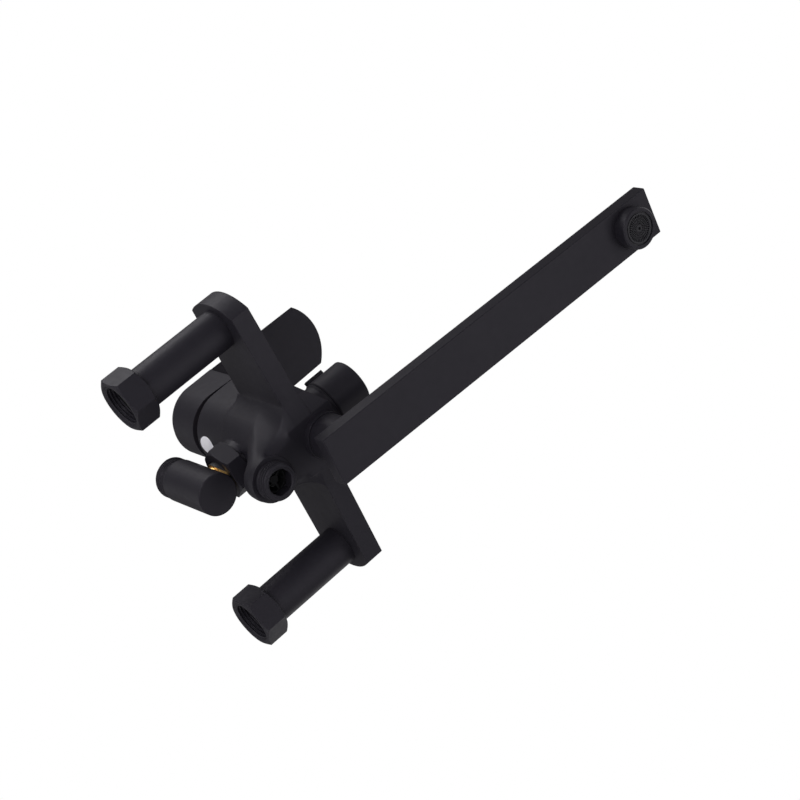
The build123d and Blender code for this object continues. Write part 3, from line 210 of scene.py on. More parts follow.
# %% Pale floor
FLOOR_HEIGHT, FLOOR_HALF, FLOOR_GLOW = -1.6, 6.0, 0.75
BOARD_SCALE, BOARD_LOW, BOARD_HIGH = 2.0, (0.80, 0.80, 0.80), (0.86, 0.86, 0.86)
BOARD_ROUGHNESS = 0.9

board, tree, shader = node_material("pale_board")
pale = ramp(tree, noise(tree, BOARD_SCALE), BOARD_LOW, BOARD_HIGH)
tree.links.new(pale, shader.inputs["Base Color"])
tree.links.new(pale, shader.inputs["Emission Color"])
set_inputs(shader, {"Roughness": BOARD_ROUGHNESS})
seen = add(tree, "ShaderNodeLightPath")
glow = add(tree, "ShaderNodeMath", "MULTIPLY")
glow.inputs[1].default_value = FLOOR_GLOW
tree.links.new(seen.outputs["Is Camera Ray"], glow.inputs[0])
tree.links.new(glow.outputs["Value"], shader.inputs["Emission Strength"])
corners = FLOOR_HALF * np.array([(-1, -1), (1, -1), (1, 1), (-1, 1)])
floor_mesh = bpy.data.meshes.new("floor")
floor_mesh.from_pydata(np.column_stack([corners, np.full(4, FLOOR_HEIGHT)]), [], [(0, 1, 2, 3)])
floor_mesh.materials.append(board)
floor = bpy.data.objects.new("floor", floor_mesh)
scene.collection.objects.link(floor)
print("floor at", FLOOR_HEIGHT, "m")

# %% [markdown]
# ## Finishes
# The outside is brass with a matte black coat. Close up such a coat has a fine grain, a slow change of
# gloss where it lies thicker, and edges that the coat rounds off, which is why they catch the light. The
# Bevel node bends the normal near an edge, so every solid gets that soft edge without a change to its
# mesh. The grain is a small bump.

# %% Black coat
BEVEL_SAMPLES = 6


def surface_bump(tree, shader, height, depth, rounding=0.0):
    """Bends the shader's normal by a height pattern, on top of rounded edges."""
    bump = add(tree, "ShaderNodeBump", Strength=1.0, Distance=depth)
    tree.links.new(height, bump.inputs["Height"])
    if rounding:
        edge = add(tree, "ShaderNodeBevel", Radius=rounding)
        edge.samples = BEVEL_SAMPLES
        tree.links.new(edge.outputs["Normal"], bump.inputs["Normal"])
    tree.links.new(bump.outputs["Normal"], shader.inputs["Normal"])


def make_finish(name, colour, gloss, grain, details=(3.0, 3.0, 3.0), **settings):
    """A finish of three clouds: one blends two colours, one blends two roughnesses, and one is a fine bump.

    Colour and gloss each hold the cloud's scale and the two ends. Grain holds its cloud's scale, the bump's
    depth and the rounding of the edges, both in metres."""
    material, tree, shader = node_material(name)
    tone, sheen, bump = (noise(tree, row[0], detail) for row, detail in zip((colour, gloss, grain), details))
    tree.links.new(ramp(tree, tone, *colour[1:]), shader.inputs["Base Color"])
    tree.links.new(between(tree, sheen, *gloss[1:]), shader.inputs["Roughness"])
    surface_bump(tree, shader, bump, *grain[1:])
    set_inputs(shader, settings)
    return material


black_coat = make_finish(
    "black_coat",
    (60.0, (0.0116, 0.0106, 0.0150), (0.0130, 0.0120, 0.0166)),
    (240.0, 0.48, 0.54),
    (2600.0, 0.000010, 0.0005),
    details=(4.0, 4.0, 2.0),
    Specular_IOR_Level=0.26,
    Specular_Tint=(0.95, 0.91, 1.0, 1.0),
)
print("made", black_coat.name)

# %% [markdown]
# The inner pieces are bare brass, rubber, ceramic, plastic and steel. Brass and steel have a gloss that
# varies in fine clouds; rubber is dull and a little dusty; plastic has a fine grain from its mould. The
# check valve sits deep in the hose outlet, and its plastic and its spring are painted nearly black: this
# is painted shade, for the dark of the outlet.

# %% Inner finishes
BRASS_TONES = (120.0, (0.70, 0.41, 0.13), (0.84, 0.54, 0.20))
BRASS_GRAIN = (1800.0, 0.000006, 0.0003)
PLASTIC_GRAIN = (4000.0, 0.00001, 0.0002)
STEEL_GRAIN = (2200.0, 0.000005, 0.0001)

brass = make_finish("turned_brass", BRASS_TONES, (900.0, 0.20, 0.34), BRASS_GRAIN, Metallic=1.0)
rubber = make_finish(
    "seal_rubber",
    (300.0, (0.012, 0.012, 0.012), (0.024, 0.024, 0.025)),
    (700.0, 0.62, 0.80),
    (2500.0, 0.00001, 0.0002),
)
ceramic = make_finish(
    "lapped_ceramic",
    (500.0, (0.80, 0.79, 0.75), (0.88, 0.87, 0.83)),
    (900.0, 0.16, 0.26),
    (3000.0, 0.000003, 0.0002),
)
plastic = make_finish(
    "moulded_plastic",
    (150.0, (0.013, 0.012, 0.016), (0.020, 0.019, 0.024)),
    (1500.0, 0.42, 0.58),
    PLASTIC_GRAIN,
    Specular_IOR_Level=0.35,
)
steel = make_finish(
    "stainless_steel",
    (200.0, (0.52, 0.52, 0.53), (0.64, 0.64, 0.64)),
    (1400.0, 0.22, 0.38),
    STEEL_GRAIN,
    Metallic=1.0,
)
label_film = make_finish(
    "label_film",
    (90.0, (0.80, 0.79, 0.86), (0.88, 0.87, 0.92)),
    (600.0, 0.35, 0.50),
    (140.0, 0.00004),
)
# Painted shade: the check valve's plastic is nearly black for the shade deep in the hose outlet.
valve_plastic_painted_shade = make_finish(
    "valve_plastic_painted_shade",
    (300.0, (0.004, 0.004, 0.005), (0.007, 0.007, 0.008)),
    (1500.0, 0.60, 0.75),
    PLASTIC_GRAIN,
    Specular_IOR_Level=0.15,
)
# Painted shade: the spring is nearly black and dull, for the shade deep in the hose outlet.
painted_shade_spring = make_finish(
    "spring_painted_shade",
    (800.0, (0.010, 0.010, 0.011), (0.022, 0.022, 0.024)),
    (1400.0, 0.45, 0.60),
    STEEL_GRAIN,
)
print("made the inner finishes")

# %% [markdown]
# The tail of the riser's union is brass under the same coat, but next to the elbow the coat is missing
# and bare metal glints. The way from the elbow's upright axis tells the two apart, with a cloud that
# frays the line.

# %% Half coated tail
ELBOW_AXIS, BARE_WITHIN = (0.0, -0.021, 0.0), 0.0131
FRAY_SCALE, FRAY, BLUR = 500.0, 0.0003, 0.0002
TAIL_COAT_SCALE, TAIL_COAT_LOW, TAIL_COAT_HIGH = 60.0, (0.010, 0.010, 0.013), (0.013, 0.012, 0.016)
COATED_ROUGHNESS, BARE_ROUGHNESS = 0.52, 0.30
FIRST_COLOUR, SECOND_COLOUR, MIXED_COLOUR = 6, 7, 2

coated_tail, tree, shader = node_material("half_coated_brass")
place = add(tree, "ShaderNodeTexCoord")
level = add(tree, "ShaderNodeVectorMath", "MULTIPLY")
level.inputs[1].default_value = (1.0, 1.0, 0.0)
way = add(tree, "ShaderNodeVectorMath", "DISTANCE")
way.inputs[1].default_value = ELBOW_AXIS
frayed = add(tree, "ShaderNodeMath", "ADD")
bare = add(tree, "ShaderNodeMapRange", From_Min=BARE_WITHIN + BLUR, From_Max=BARE_WITHIN - BLUR)
tree.links.new(place.outputs["Object"], level.inputs[0])
tree.links.new(level.outputs["Vector"], way.inputs[0])
tree.links.new(way.outputs["Value"], frayed.inputs[0])
tree.links.new(between(tree, noise(tree, FRAY_SCALE), -FRAY, FRAY), frayed.inputs[1])
tree.links.new(frayed.outputs["Value"], bare.inputs["Value"])

tone = add(tree, "ShaderNodeMix")
tone.data_type = "RGBA"
coat = ramp(tree, noise(tree, TAIL_COAT_SCALE), TAIL_COAT_LOW, TAIL_COAT_HIGH)
metal = ramp(tree, noise(tree, BRASS_TONES[0]), *BRASS_TONES[1:])
tree.links.new(bare.outputs["Result"], tone.inputs["Factor"])
tree.links.new(coat, tone.inputs[FIRST_COLOUR])
tree.links.new(metal, tone.inputs[SECOND_COLOUR])
tree.links.new(tone.outputs[MIXED_COLOUR], shader.inputs["Base Color"])
tree.links.new(bare.outputs["Result"], shader.inputs["Metallic"])
gloss = add(tree, "ShaderNodeMapRange", To_Min=COATED_ROUGHNESS, To_Max=BARE_ROUGHNESS)
tree.links.new(bare.outputs["Result"], gloss.inputs["Value"])
tree.links.new(gloss.outputs["Result"], shader.inputs["Roughness"])
surface_bump(tree, shader, noise(tree, BRASS_GRAIN[0]), *BRASS_GRAIN[1:])
print("made", coated_tail.name)

# %% [markdown]
# Each node takes the finish of its slot in the record, apart from the tail and the small parts of the
# check valve.

# %% Finishes on the nodes
FINISHES = {
    "black_coat": black_coat,
    "brass": brass,
    "rubber": rubber,
    "ceramic": ceramic,
    "dark_plastic": plastic,
    "steel": steel,
    "label": label_film,
}
# The check valve's parts take finishes of painted shade, nearly black.
OWN_FINISH = {
    "riser_tail": coated_tail,
    "check_valve_body": valve_plastic_painted_shade,
    "check_valve_poppet": valve_plastic_painted_shade,
    "check_valve_spring": painted_shade_spring,
}
for row in frame["record"]["subparts"]:
    node = frame["nodes"][row["node"]]
    node.data.materials.clear()
    node.data.materials.append(OWN_FINISH.get(row["node"], FINISHES[row["material_slot"]]))

# %% [markdown]
# ## Cast body
# The body is one casting, and where the hose outlet's boss, the column and the bar meet, the mould leaves
# soft webs of metal. A copy of the solid's mesh is cut finer there, and its points then move step by step
# towards the mean of their neighbours. In the core of the web they move both ways, which rounds ridges
# and hollows alike. Further out they move only outwards along their normal, so that hollows fill and the
# crisp edges of the bar stay as they are.

# %% Finer mesh in the web
OUTLET_Y, NECK_Y = -42.3 * MM, -81.3 * MM
RISER_Z, DIVERTER_Z = 11.5 * MM, -1.6 * MM
NECK_SEAT, RIM_SEAT, NIPPLE_SEAT = 13.4 * MM, 13.6 * MM, 11.2 * MM
RISER_SEAT, DIVERTER_SEAT = 12.0 * MM, 9.2 * MM
RIM_BELOW, NIPPLE_BELOW, RISER_BEHIND = -25.0 * MM, -15.0 * MM, -50.0 * MM
WEB_MIDDLE, WEB_REACH = np.array([0.0, -54.0, -6.0]) * MM, np.array([42.0, 32.0, 40.0]) * MM
CORE_MIDDLE, CORE_REACH = np.array([0.0, -50.0, -15.0]) * MM, np.array([38.0, 26.0, 18.0]) * MM
WEB_EDGE, CUTS, SAME_PLACE = 1.2 * MM, 8, 1e-6


def machined(x, y, z):
    """True at the bores, the seats and the boss's rim, which are turned after casting and keep their form."""
    from_outlet = np.hypot(x, y - OUTLET_Y)
    neck = np.hypot(x, y - NECK_Y) < NECK_SEAT
    rim = (from_outlet < RIM_SEAT) & (z < RIM_BELOW)
    nipple = (from_outlet < NIPPLE_SEAT) & (z < NIPPLE_BELOW)
    riser = (np.hypot(x, z - RISER_Z) < RISER_SEAT) & (y > RISER_BEHIND)
    diverter = np.hypot(x, z - DIVERTER_Z) < DIVERTER_SEAT
    return neck | rim | nipple | riser | diverter


def nearness(points, middle, reach, rim=1.0):
    """One inside an ellipsoid, falling to nought over the outer rim share of its reach."""
    distance = np.linalg.norm((points - middle) / reach, axis=1)
    return np.clip((1.0 - distance) / rim, 0.0, 1.0)


def read(mesh):
    """The mesh's points, and the two ends of each edge."""
    points, edges = np.empty(3 * len(mesh.vertices)), np.empty(2 * len(mesh.edges), int)
    mesh.vertices.foreach_get("co", points)
    mesh.edges.foreach_get("vertices", edges)
    return points.reshape(-1, 3), edges.reshape(-1, 2)


draft = bpy.data.meshes.new("draft")
cast = bmesh.new()
cast.from_mesh(frame["nodes"]["body_casting"].data)
bmesh.ops.remove_doubles(cast, verts=cast.verts, dist=SAME_PLACE)
for _ in range(CUTS):
    cast.to_mesh(draft)
    points, edges = read(draft)
    first, last = points[edges[:, 0]], points[edges[:, 1]]
    middle = (first + last) / 2
    reached = np.max([nearness(ends, WEB_MIDDLE, WEB_REACH) for ends in (first, middle, last)], axis=0)
    long = np.linalg.norm(last - first, axis=1) > WEB_EDGE
    chosen = np.flatnonzero(long & (reached > 0) & ~machined(*middle.T))
    cast.edges.ensure_lookup_table()
    bmesh.ops.subdivide_edges(cast, edges=[cast.edges[i] for i in chosen], cuts=1, use_single_edge=True)
    bmesh.ops.triangulate(cast, faces=[face for face in cast.faces if len(face.verts) > 3])
cast.to_mesh(draft)
cast.free()
print("the body's mesh has", len(draft.vertices), "points after the cuts")

# %% Soft webs of the casting
ROUNDS, STEPS, STRIDE = 14, 10, 0.5
ROUNDING, CORE_RIM, WEB_RIM = 0.10, 0.4, 0.35
SHARP_ANGLE = np.radians(32)

points, edges = read(draft)
corners = np.empty(len(draft.loops), int)
draft.loops.foreach_get("vertex_index", corners)
start, end = edges.T
degree = np.bincount(edges.ravel(), minlength=len(points))[:, None]
cast_skin = ~machined(*points.T)
web = nearness(points, WEB_MIDDLE, WEB_REACH, WEB_RIM) * cast_skin
core = ROUNDING * nearness(points, CORE_MIDDLE, CORE_REACH, CORE_RIM) * cast_skin
for _ in range(ROUNDS):
    draft.vertices.foreach_set("co", points.ravel())
    draft.update()
    normals = np.empty(points.size)
    draft.vertex_normals.foreach_get("vector", normals)
    normals = normals.reshape(-1, 3)
    for _ in range(STEPS):
        total = np.stack([
            np.bincount(start, points[end, k], len(points)) + np.bincount(end, points[start, k], len(points))
            for k in range(3)
        ], axis=1)
        towards = total / degree - points
        outwards = np.maximum(np.einsum("ij,ij->i", towards, normals), 0.0)[:, None] * normals
        move = core[:, None] * towards + np.maximum(web - core, 0.0)[:, None] * outwards
        points = points + STRIDE * move
body_mesh = bpy.data.meshes.new("cast_body")
body_mesh.from_pydata(points, [], corners.reshape(-1, 3))
body_mesh.polygons.foreach_set("use_smooth", np.ones(len(body_mesh.polygons), bool))
body_mesh.set_sharp_from_angle(angle=SHARP_ANGLE)
body_mesh.materials.append(black_coat)
cast_body = bpy.data.objects.new("cast_body", body_mesh)
scene.collection.objects.link(cast_body)
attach(cast_body, "base")
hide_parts("body_casting")
print("cast body has", len(body_mesh.polygons), "faces")

# %% [markdown]
# ## Threads
# The nuts, the hose nipple and the elbow carry pipe threads, which the CAD solids leave as plain
# cylinders. A thread could be a profile swept along a helix and joined to a cylinder, but the join is
# fiddly. It is simpler to see each piece as a turned outline whose radius also depends on the angle:
# where the thread is, the radius falls by a wave whose phase moves by one pitch in a turn, and where the
# hexagon is, it follows the flats.

# %% Skin over a closed grid
GRID_SNAP = 1e-7


def skin(name, points, body, node, finish):
    """Joins a grid of points into quads. Rows run round the axis and close; columns run along the outline.

    Outlines that begin and end on the axis have their points there merged into one. Faces that would enclose
    a negative volume are turned round, so that they point outwards."""
    rows, columns, _ = points.shape
    flat = points.reshape(-1, 3)
    row, column = np.meshgrid(np.arange(rows), np.arange(columns - 1), indexing="ij")
    here, beside = row * columns + column, ((row + 1) % rows) * columns + column
    quads = np.stack([here, beside, beside + 1, here + 1], axis=-1).reshape(-1, 4)
    a, b, c, d = (flat[quads[:, k]] for k in range(4))
    if np.einsum("ij,ij->", a, np.cross(b, c)) + np.einsum("ij,ij->", a, np.cross(c, d)) < 0:
        quads = quads[:, ::-1]
    kept, merged = np.unique(np.round(flat / GRID_SNAP).astype(np.int64), axis=0, return_inverse=True)
    first = np.zeros(len(kept), int)
    first[merged.ravel()] = np.arange(len(flat))
    faces = [tuple(dict.fromkeys(face)) for face in merged.ravel()[quads].tolist()]
    mesh = bpy.data.meshes.new(name)
    mesh.from_pydata(flat[first], [], [face for face in faces if len(face) > 2])
    mesh.polygons.foreach_set("use_smooth", np.ones(len(mesh.polygons), bool))
    mesh.set_sharp_from_angle(angle=SHARP_ANGLE)
    mesh.materials.append(finish)
    piece = bpy.data.objects.new(name, mesh)
    scene.collection.objects.link(piece)
    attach(piece, body)
    if node:
        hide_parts(node)
    print(name, "rides on", body, "with", len(mesh.polygons), "faces")
    return piece


# %% Thread, hexagon and outline
PITCH, THREAD_DEPTH = 1.814 * MM, 1.0 * MM
WAVE_HEIGHT, FADE = 0.8, 0.5 * PITCH
ROUND, TRACE = 144, 1e-6


def groove(height, angle, low, high):
    """Depth of a pipe thread's groove: a clipped cosine of height over pitch less the share of the turn.

    The clip leaves flats on crest and root. The groove fades in over half a pitch past low and high."""
    phase = 2 * np.pi * height / PITCH - angle
    wave = np.clip(0.5 + WAVE_HEIGHT * np.cos(phase), 0.0, 1.0)
    fade = np.clip((height - low) / FADE, 0.0, 1.0) * np.clip((high - height) / FADE, 0.0, 1.0)
    return THREAD_DEPTH * wave * fade


def hexagon(angle, half_flats):
    """Radius of a hexagon at an angle: half the flats over the cosine of the angle from the nearest flat."""
    return half_flats / np.cos((angle + np.pi / 6) % (np.pi / 3) - np.pi / 6)


def outline(*corners, step=0.15 * MM):
    """Radius and height along straight runs between corners, with a point at least every step."""
    corners = np.array(corners)
    lengths = np.linalg.norm(np.diff(corners, axis=0), axis=1)
    counts = np.maximum(np.ceil(lengths / step).astype(int), 1)
    share = np.concatenate([np.arange(k) / k for k in counts] + [np.ones(1)])
    run = np.concatenate([np.full(k, i) for i, k in enumerate(counts)] + [np.array([len(counts) - 1])])
    return corners[run] + share[:, None] * (corners[run + 1] - corners[run])


def spun(run, start=0.0, count=ROUND):
    """The angles round the axis as rows, with the outline's radius and height as columns."""
    angle = start + np.linspace(0, 2 * np.pi, count, endpoint=False)[:, None]
    return angle, run[:, 0] * np.ones_like(angle), run[:, 1][None, :]


def turned(radius, height, angle, centre, axis):
    """Points of a turned piece: radius at each angle, put round an axis through centre along Y or Z."""
    across, up = radius * np.cos(angle), radius * np.sin(angle)
    height = np.broadcast_to(height, radius.shape)
    if axis == "Y":
        return np.stack([centre[0] + across, centre[1] + height, centre[2] + up], axis=-1)
    return np.stack([centre[0] + across, centre[1] + up, centre[2] + height], axis=-1)


print("pitch", PITCH / MM, "mm")

# %% [markdown]
# ### Wing before the bar
# On the front the diverter's housing grows out of the bar in two wings: the underside of the bar runs on
# forwards to the housing's front edge, with no step between them. In plan a wing is a long straight slope
# from the bar to the housing. The slope is carried along the housing's outline, up one flank, over its
# round top and down the other, and it is shorter over the top. The foot of each wing keeps the section of
# the bar's underside, which is steeper in its flare near the housing than further out.

# %% Wing before the bar
FLANK, BAR_FRONT = 15.0 * MM, -80.5 * MM
WING_FOOT, WING_REACH, WING_SIDE, WING_TOP = -26.45 * MM, 11.8 * MM, 18.0 * MM, 5.5 * MM
BURIED, WING_SINK, WING_COVER, WING_FADE = 1.5 * MM, 4.0 * MM, 0.02 * MM, 0.8 * MM
FLARE_WIDTH, FLARE_SLOPE, BAR_SLOPE = 11.8 * MM, 0.288, 0.054
FLANK_POINTS, TOP_POINTS, SLOPE_POINTS, TOP_POWER = 24, 49, 25, 0.7
FOOT_STEPS = np.array([0.75, 0.5, 0.25, 0.0])

rise = np.linspace(WING_FOOT, DIVERTER_Z, FLANK_POINTS)[:-1]
over = np.linspace(np.pi, 0.0, TOP_POINTS)
still = np.zeros(len(rise))
side = np.concatenate([still - 1.0, np.cos(over), still + 1.0])
up = np.concatenate([still, np.sin(over), still])
path_x = FLANK * side
path_z = np.concatenate([rise, DIVERTER_Z + FLANK * np.sin(over), rise[::-1]])
spread = WING_SIDE + (WING_TOP - WING_SIDE) * up**TOP_POWER
sunk = np.full_like(path_x, -BURIED)
share = np.linspace(0.0, 1.0, SLOPE_POINTS)[:, None]
away = np.concatenate([spread * (1 - share), [sunk, sunk, spread]])
ahead = np.concatenate([WING_REACH * share + 0 * path_x, [sunk + BURIED + WING_REACH, sunk, sunk]])
flared, beyond = np.clip(away, 0, FLARE_WIDTH), np.clip(away - FLARE_WIDTH, 0, None)
underside = FLARE_SLOPE * flared + BAR_SLOPE * beyond
underside[-3:] += WING_SINK
low_share = np.clip((DIVERTER_Z - path_z) / (DIVERTER_Z - WING_FOOT), 0.0, 1.0)
wing_z = path_z + up * away + low_share * underside
wing = np.stack([path_x + side * away, BAR_FRONT - ahead, wing_z], axis=-1)


def wing_foot(end):
    """Closes an end of the wing: the last section drawn back to the bar, then sunk into it and to a point.

    The sheet lies a trace below the bar's edge and fades into its underside behind it."""
    sheet = np.repeat(wing[:, [end]], len(FOOT_STEPS), axis=1)
    sheet[..., 1] = BAR_FRONT - FOOT_STEPS * ahead[:, [end]]
    sheet[..., 2] -= WING_COVER * np.clip(away[:, [end]] / BURIED, 0.0, 1.0)
    faded = sheet[:, -1:] + np.array((0.0, WING_FADE, 2 * WING_COVER))
    inner = faded + np.array((0.0, 0.0, BURIED))
    point = np.broadcast_to(inner.mean(axis=0), inner.shape)
    return np.concatenate([sheet, faded, inner, point], axis=1)


wing = np.concatenate([wing_foot(0)[:, ::-1], wing, wing_foot(-1)], axis=1)
skin("housing_wing", wing, "base", None, black_coat)

# %% [markdown]
# ### Captive union nuts
# Each nut has a hexagon outside, with its corners turned off at about 30 degrees at both ends, and a G
# 3/4 thread inside. The turn of the flats is read from the CAD node, so that the nut lies as it does
# there.

# %% Union nuts
LEG_HOLE, CHAMBER, NUT_BORE, HALF_FLATS = 11.75 * MM, 13.3 * MM, 12.06 * MM, 14.5 * MM
NUT_FLOOR, NUT_THREAD, HOLE_EDGE, MOUTH_EDGE = 2.7 * MM, 7.2 * MM, 0.3 * MM, 0.9 * MM
CONE_FOOT, CONE_REACH, CONE_HEIGHT = 0.2 * MM, 3.0 * MM, 1.8 * MM
RIDGE_START, RIDGE_PAST, RIDGE_STOP, RIDGE_SHARE = 7.0 * MM, 0.2 * MM, 0.5 * MM, 0.8


def union_nut(side, body):
    """A turned outline whose outer run is the lesser of the hexagon and the chamfer's cone, and whose bore is
    the thread's major radius less its ridges."""
    node = f"{side}_union_nut"
    points = np.array([v.co for v in frame["nodes"][node].data.vertices])
    low, high = points.min(axis=0), points.max(axis=0)
    middle = (low + high) / 2
    back, mouth = low[1], high[1]
    off = points - middle
    far = np.argmax(np.hypot(off[:, 0], off[:, 2]))
    corner_angle = np.arctan2(off[far, 2], off[far, 0])
    face, cone = HALF_FLATS - CONE_FOOT, HALF_FLATS + CONE_REACH
    seat, thread_end = back + NUT_FLOOR, mouth - NUT_THREAD
    run = outline(
        (LEG_HOLE, seat), (LEG_HOLE, back + HOLE_EDGE), (LEG_HOLE + HOLE_EDGE, back),
        (face, back), (cone, back + CONE_HEIGHT), (cone, mouth - CONE_HEIGHT), (face, mouth),
        (NUT_BORE + MOUTH_EDGE, mouth), (NUT_BORE, mouth - MOUTH_EDGE), (NUT_BORE, thread_end),
        (CHAMBER, thread_end), (CHAMBER, seat), (LEG_HOLE, seat),
    )
    angle, radius, height = spun(run, corner_angle)
    flat_radius = hexagon(angle - corner_angle + np.pi / 6, HALF_FLATS)
    shaped = np.where(radius > face - TRACE, np.minimum(radius, flat_radius), radius)
    ridge = groove(height, angle, mouth - RIDGE_START, mouth + RIDGE_PAST)
    threaded = np.isclose(radius, NUT_BORE) & (height < mouth - RIDGE_STOP)
    shaped = np.where(threaded, radius - ridge * RIDGE_SHARE, shaped)
    centre = (middle[0], 0.0, middle[2])
    return skin(f"threaded_{node}", turned(shaped, height, angle, centre, "Y"), body, node, black_coat)


for side in ("left", "right"):
    union_nut(side, f"{side}_nut")

# %% [markdown]
# ### Hose nipple
# The nipple that takes the shower hose has a G 1/2 thread outside and a hexagonal socket for the key that
# fits it. Its end face is a narrow ring with a chamfer on both sides.

# %% Hose nipple
HOSE_MAJOR, NIPPLE_TAIL, NIPPLE_BORE, SOCKET = 10.478 * MM, 9.5 * MM, 7.55 * MM, 6.9 * MM
HOSE_THREAD, SOCKET_DEPTH, SOCKET_EDGE = 7.8 * MM, 6.6 * MM, 0.6 * MM
HOSE_EDGE, HOSE_CONE, HOSE_ROOT = 0.8 * MM, 1.2 * MM, 1.01 * MM
LIP, LIP_OUTER, LIP_CREST, LIP_INNER = 0.35 * MM, 1.5 * MM, 1.3 * MM, 1.0 * MM
HOSE_RUN_IN, HOSE_RUN_OUT = 1.0 * MM, 0.6 * MM

low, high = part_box("hose_outlet_nipple")
nipple_middle = (0.0, (low.y + high.y) / 2, 0.0)
nipple_end, nipple_top = low.z, high.z
shoulder, socket_floor = nipple_end + HOSE_THREAD, nipple_end + SOCKET_DEPTH
run = outline(
    (NIPPLE_BORE, socket_floor), (NIPPLE_BORE, nipple_top), (NIPPLE_TAIL, nipple_top),
    (NIPPLE_TAIL, shoulder), (HOSE_MAJOR, shoulder), (HOSE_MAJOR, nipple_end + HOSE_CONE),
    (HOSE_MAJOR - HOSE_EDGE, nipple_end + LIP), (SOCKET + LIP_OUTER, nipple_end + LIP),
    (SOCKET + LIP_CREST, nipple_end), (SOCKET + LIP_INNER, nipple_end), (SOCKET, nipple_end + SOCKET_EDGE),
    (SOCKET, socket_floor), (NIPPLE_BORE, socket_floor),
)
angle, radius, height = spun(run)
thread_floor = HOSE_MAJOR - groove(height, angle, nipple_end - HOSE_RUN_IN, shoulder - HOSE_RUN_OUT)
on_thread = (radius > HOSE_MAJOR - HOSE_ROOT) & (height < shoulder - TRACE)
shaped = np.where(on_thread, np.minimum(radius, thread_floor), radius)
shaped = np.where(np.isclose(radius, SOCKET), hexagon(angle, SOCKET), shaped)
skin("threaded_hose_nipple", turned(shaped, height, angle, nipple_middle, "Z"), "base", "hose_outlet_nipple",
     black_coat)

# %% [markdown]
# ### Riser elbow
# The elbow behind the body turns the water up into the rising pipe. It is a plain cylinder with a flat
# foot, and its upper end carries a G 5/8 thread. The brass tail of the union goes into its side.

# %% Riser elbow
ELBOW, ELBOW_THREAD, ELBOW_BORE = 11.8 * MM, 11.455 * MM, 8.0 * MM
ELBOW_NECK, ELBOW_FLOOR = 38.5 * MM, 5.0 * MM
FOOT_EDGE, FOOT_CORNER, THREAD_EDGE, BORE_EDGE = 0.6 * MM, 0.2 * MM, 0.9 * MM, 0.4 * MM
ELBOW_RUN_IN, ELBOW_RUN_OUT, ELBOW_ROOT = 0.3 * MM, 1.0 * MM, 0.91 * MM

low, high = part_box("riser_elbow")
elbow_middle = ((low.x + high.x) / 2, (low.y + high.y) / 2, 0.0)
foot, top = low.z, high.z
neck, floor_height = foot + ELBOW_NECK, foot + ELBOW_FLOOR
run = outline(
    (0.0, foot), (ELBOW - FOOT_EDGE, foot), (ELBOW - FOOT_CORNER, foot + FOOT_CORNER),
    (ELBOW, foot + FOOT_EDGE), (ELBOW, neck), (ELBOW_THREAD, neck), (ELBOW_THREAD, top - THREAD_EDGE),
    (ELBOW_THREAD - THREAD_EDGE, top),
    (ELBOW_BORE + BORE_EDGE, top), (ELBOW_BORE, top - BORE_EDGE), (ELBOW_BORE, floor_height),
    (0.0, floor_height), step=0.25 * MM,
)
angle, radius, height = spun(run)
thread_floor = ELBOW_THREAD - groove(height, angle, neck + ELBOW_RUN_IN, top + ELBOW_RUN_OUT)
on_thread = (radius > ELBOW_THREAD - ELBOW_ROOT) & (height > neck + TRACE)
shaped = np.where(on_thread, np.minimum(radius, thread_floor), radius)
skin("threaded_riser_elbow", turned(shaped, height, angle, elbow_middle, "Z"), "base", "riser_elbow",
     black_coat)

# %% [markdown]
# ### Diverter collar
# Between the body and the diverter's knob lies a turned collar. Its front end opens in a small cone up to
# the knob.

# %% Diverter collar
COLLAR, COLLAR_BORE, COLLAR_SPIGOT = 13.35 * MM, 4.3 * MM, 8.45 * MM
LIP_RADIUS, LIP_EDGE, LIP_LENGTH, SPIGOT_LENGTH = 14.15 * MM, 0.25 * MM, 1.5 * MM, 2.4 * MM

low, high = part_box("diverter_collar")
front, back = low.y, high.y
collar_middle = ((low.x + high.x) / 2, 0.0, (low.z + high.z) / 2)
shoulder = back - SPIGOT_LENGTH
run = outline(
    (COLLAR_BORE, front), (LIP_RADIUS - LIP_EDGE, front), (LIP_RADIUS, front + LIP_EDGE),
    (COLLAR, front + LIP_LENGTH), (COLLAR, shoulder), (COLLAR_SPIGOT, shoulder), (COLLAR_SPIGOT, back),
    (COLLAR_BORE, back), (COLLAR_BORE, front), step=1.0 * MM,
)
angle, radius, height = spun(run)
skin("beaded_diverter_collar", turned(radius, height, angle, collar_middle, "Y"), "base", "diverter_collar",
     black_coat)

# %% [markdown]
# ### Aerator insert
# The stream leaves the spout through a moulded disc: a raised rim, four rings of radial slots and a small
# boss with a hole. A hundred slots could be cut out one by one, but the cuts are slow and leave ragged
# faces. Here the face is a height over radius and angle, and each ring sets it back where the angle falls
# in the open share of its pitch. Each ring's row gives its inner and outer radius, the number of slots
# and the open share.

# %% Aerator insert
WALL = 0.12 * MM
SLOT_DEPTH, RIM_RISE, BOSS_RISE = 1.6 * MM, 0.35 * MM, 0.2 * MM
RIM_INNER, RIM_OUTER, BOSS, BOSS_HOLE = 7.75 * MM, 8.85 * MM, 1.75 * MM, 0.8 * MM
RIM_EDGE, FLANGE, ROOF, CUP_WALL = 0.2 * MM, 0.6 * MM, 2.6 * MM, 1.3 * MM
FACE_ROUND, FACE_STEP, SIDE_STEP = 360, 0.1 * MM, 1.0 * MM
SLOT_RINGS = (
    (6.30 * MM, 7.55 * MM, 36, 0.52),
    (4.90 * MM, 5.85 * MM, 36, 0.46),
    (3.60 * MM, 4.45 * MM, 24, 0.46),
    (2.30 * MM, 3.15 * MM, 18, 0.44),
)


def step_up(distance):
    """Nought before an edge and one past it, with a sloping wall about a tenth of a millimetre wide."""
    return np.clip(distance / WALL + 0.5, 0.0, 1.0)


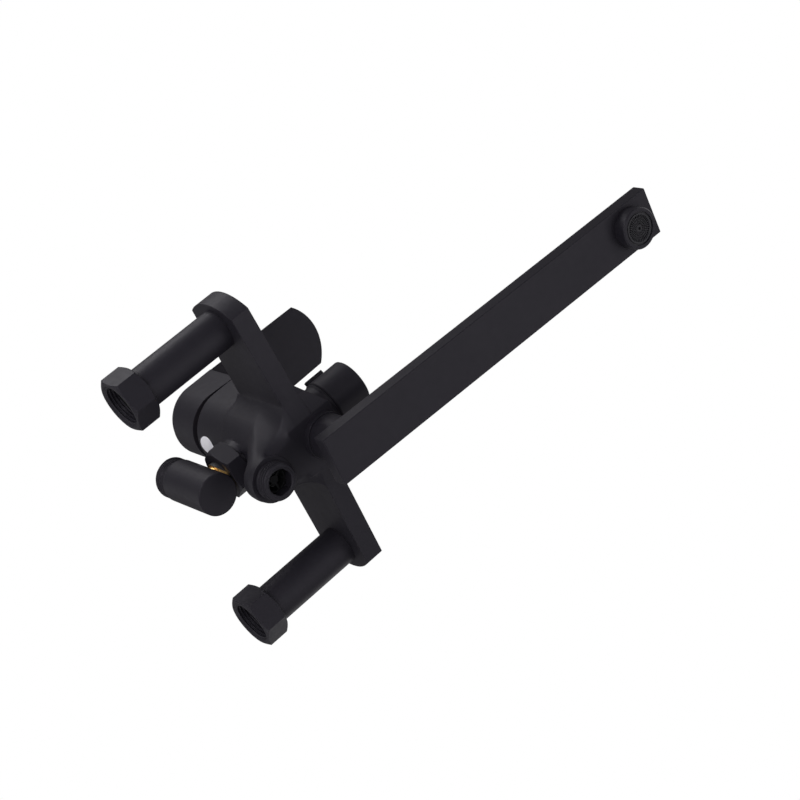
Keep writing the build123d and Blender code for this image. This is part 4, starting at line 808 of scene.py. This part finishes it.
def slots(radius, angle, inner, outer, count, share):
    """One inside a ring's slots and nought outside: the product of a band in radius and a band in each pitch.

    The way to a slot's wall is its share of the half pitch less the way from the slot's middle."""
    band = step_up(radius - inner) * step_up(outer - radius)
    half_pitch = np.pi * radius / count
    from_middle = np.abs((angle * count / (2 * np.pi)) % 1.0 - 0.5) * 2
    return band * step_up((share - from_middle) * half_pitch)


low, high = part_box("aerator_insert")
insert_middle = ((low.x + high.x) / 2, (low.y + high.y) / 2, 0.0)
insert_radius = (high.x - low.x) / 2
face, insert_top = low.z, high.z
flange, roof, cup = face + FLANGE, face + ROOF, insert_radius - CUP_WALL
run = np.concatenate([
    outline((0.0, face), (RIM_OUTER - RIM_EDGE, face), step=FACE_STEP)[:-1],
    outline((RIM_OUTER - RIM_EDGE, face), (RIM_OUTER, face + RIM_EDGE), (RIM_OUTER, flange),
            (insert_radius, flange), (insert_radius, insert_top), (cup, insert_top), (cup, roof), (0.0, roof),
            step=SIDE_STEP),
])
angle, radius, height = spun(run, count=FACE_ROUND)
on_face = np.arange(len(run)) < np.argmax(run[:, 1] > face)
plate = RIM_RISE * step_up(RIM_INNER - radius) - BOSS_RISE * step_up(BOSS - radius)
opened = np.max([slots(radius, angle, *ring) for ring in SLOT_RINGS], axis=0)
hole = np.maximum(opened, step_up(BOSS_HOLE - radius))
shaped = np.where(on_face, height + plate + (SLOT_DEPTH - plate) * hole, height)
skin("slotted_aerator_insert", turned(radius, shaped, angle, insert_middle, "Z"), "spout", "aerator_insert",
     plastic)

# %% [markdown]
# ### Check valve's spring
# The spring stands on the valve's foot and carries the poppet, so it shortens as the valve opens. It is a
# round wire along a helix: the middle of the wire climbs evenly with the angle, and a circle stands round
# it at each place. The circle closes to a point at both ends. The coil rides with the check valve, at its
# length in the CAD node.

# %% Check valve's spring
WIRE, TURNS, TRAVEL = 0.25 * MM, 3.0, 3.0 * MM
COIL_POINTS, WIRE_SIDES = 145, 16

low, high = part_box("check_valve_spring")
climb = np.pad(np.linspace(0.0, 1.0, COIL_POINTS), 1, mode="edge")
wire = np.pad(np.full(COIL_POINTS, WIRE), 1)
coil = (high.x - low.x) / 2 - WIRE
turn_angle = 2 * np.pi * TURNS * climb
about = np.linspace(0, 2 * np.pi, WIRE_SIDES, endpoint=False)[:, None]
reach = coil + wire * np.cos(about)
lift = low.z + WIRE + climb * (high.z - low.z - 2 * WIRE) + wire * np.sin(about)
helix = np.stack([reach * np.cos(turn_angle), OUTLET_Y + reach * np.sin(turn_angle), lift], axis=-1)
# The coil takes the spring's finish of painted shade, nearly black.
spring = skin("check_valve_coil", helix, "check_valve", "check_valve_spring", painted_shade_spring)
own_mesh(spring)
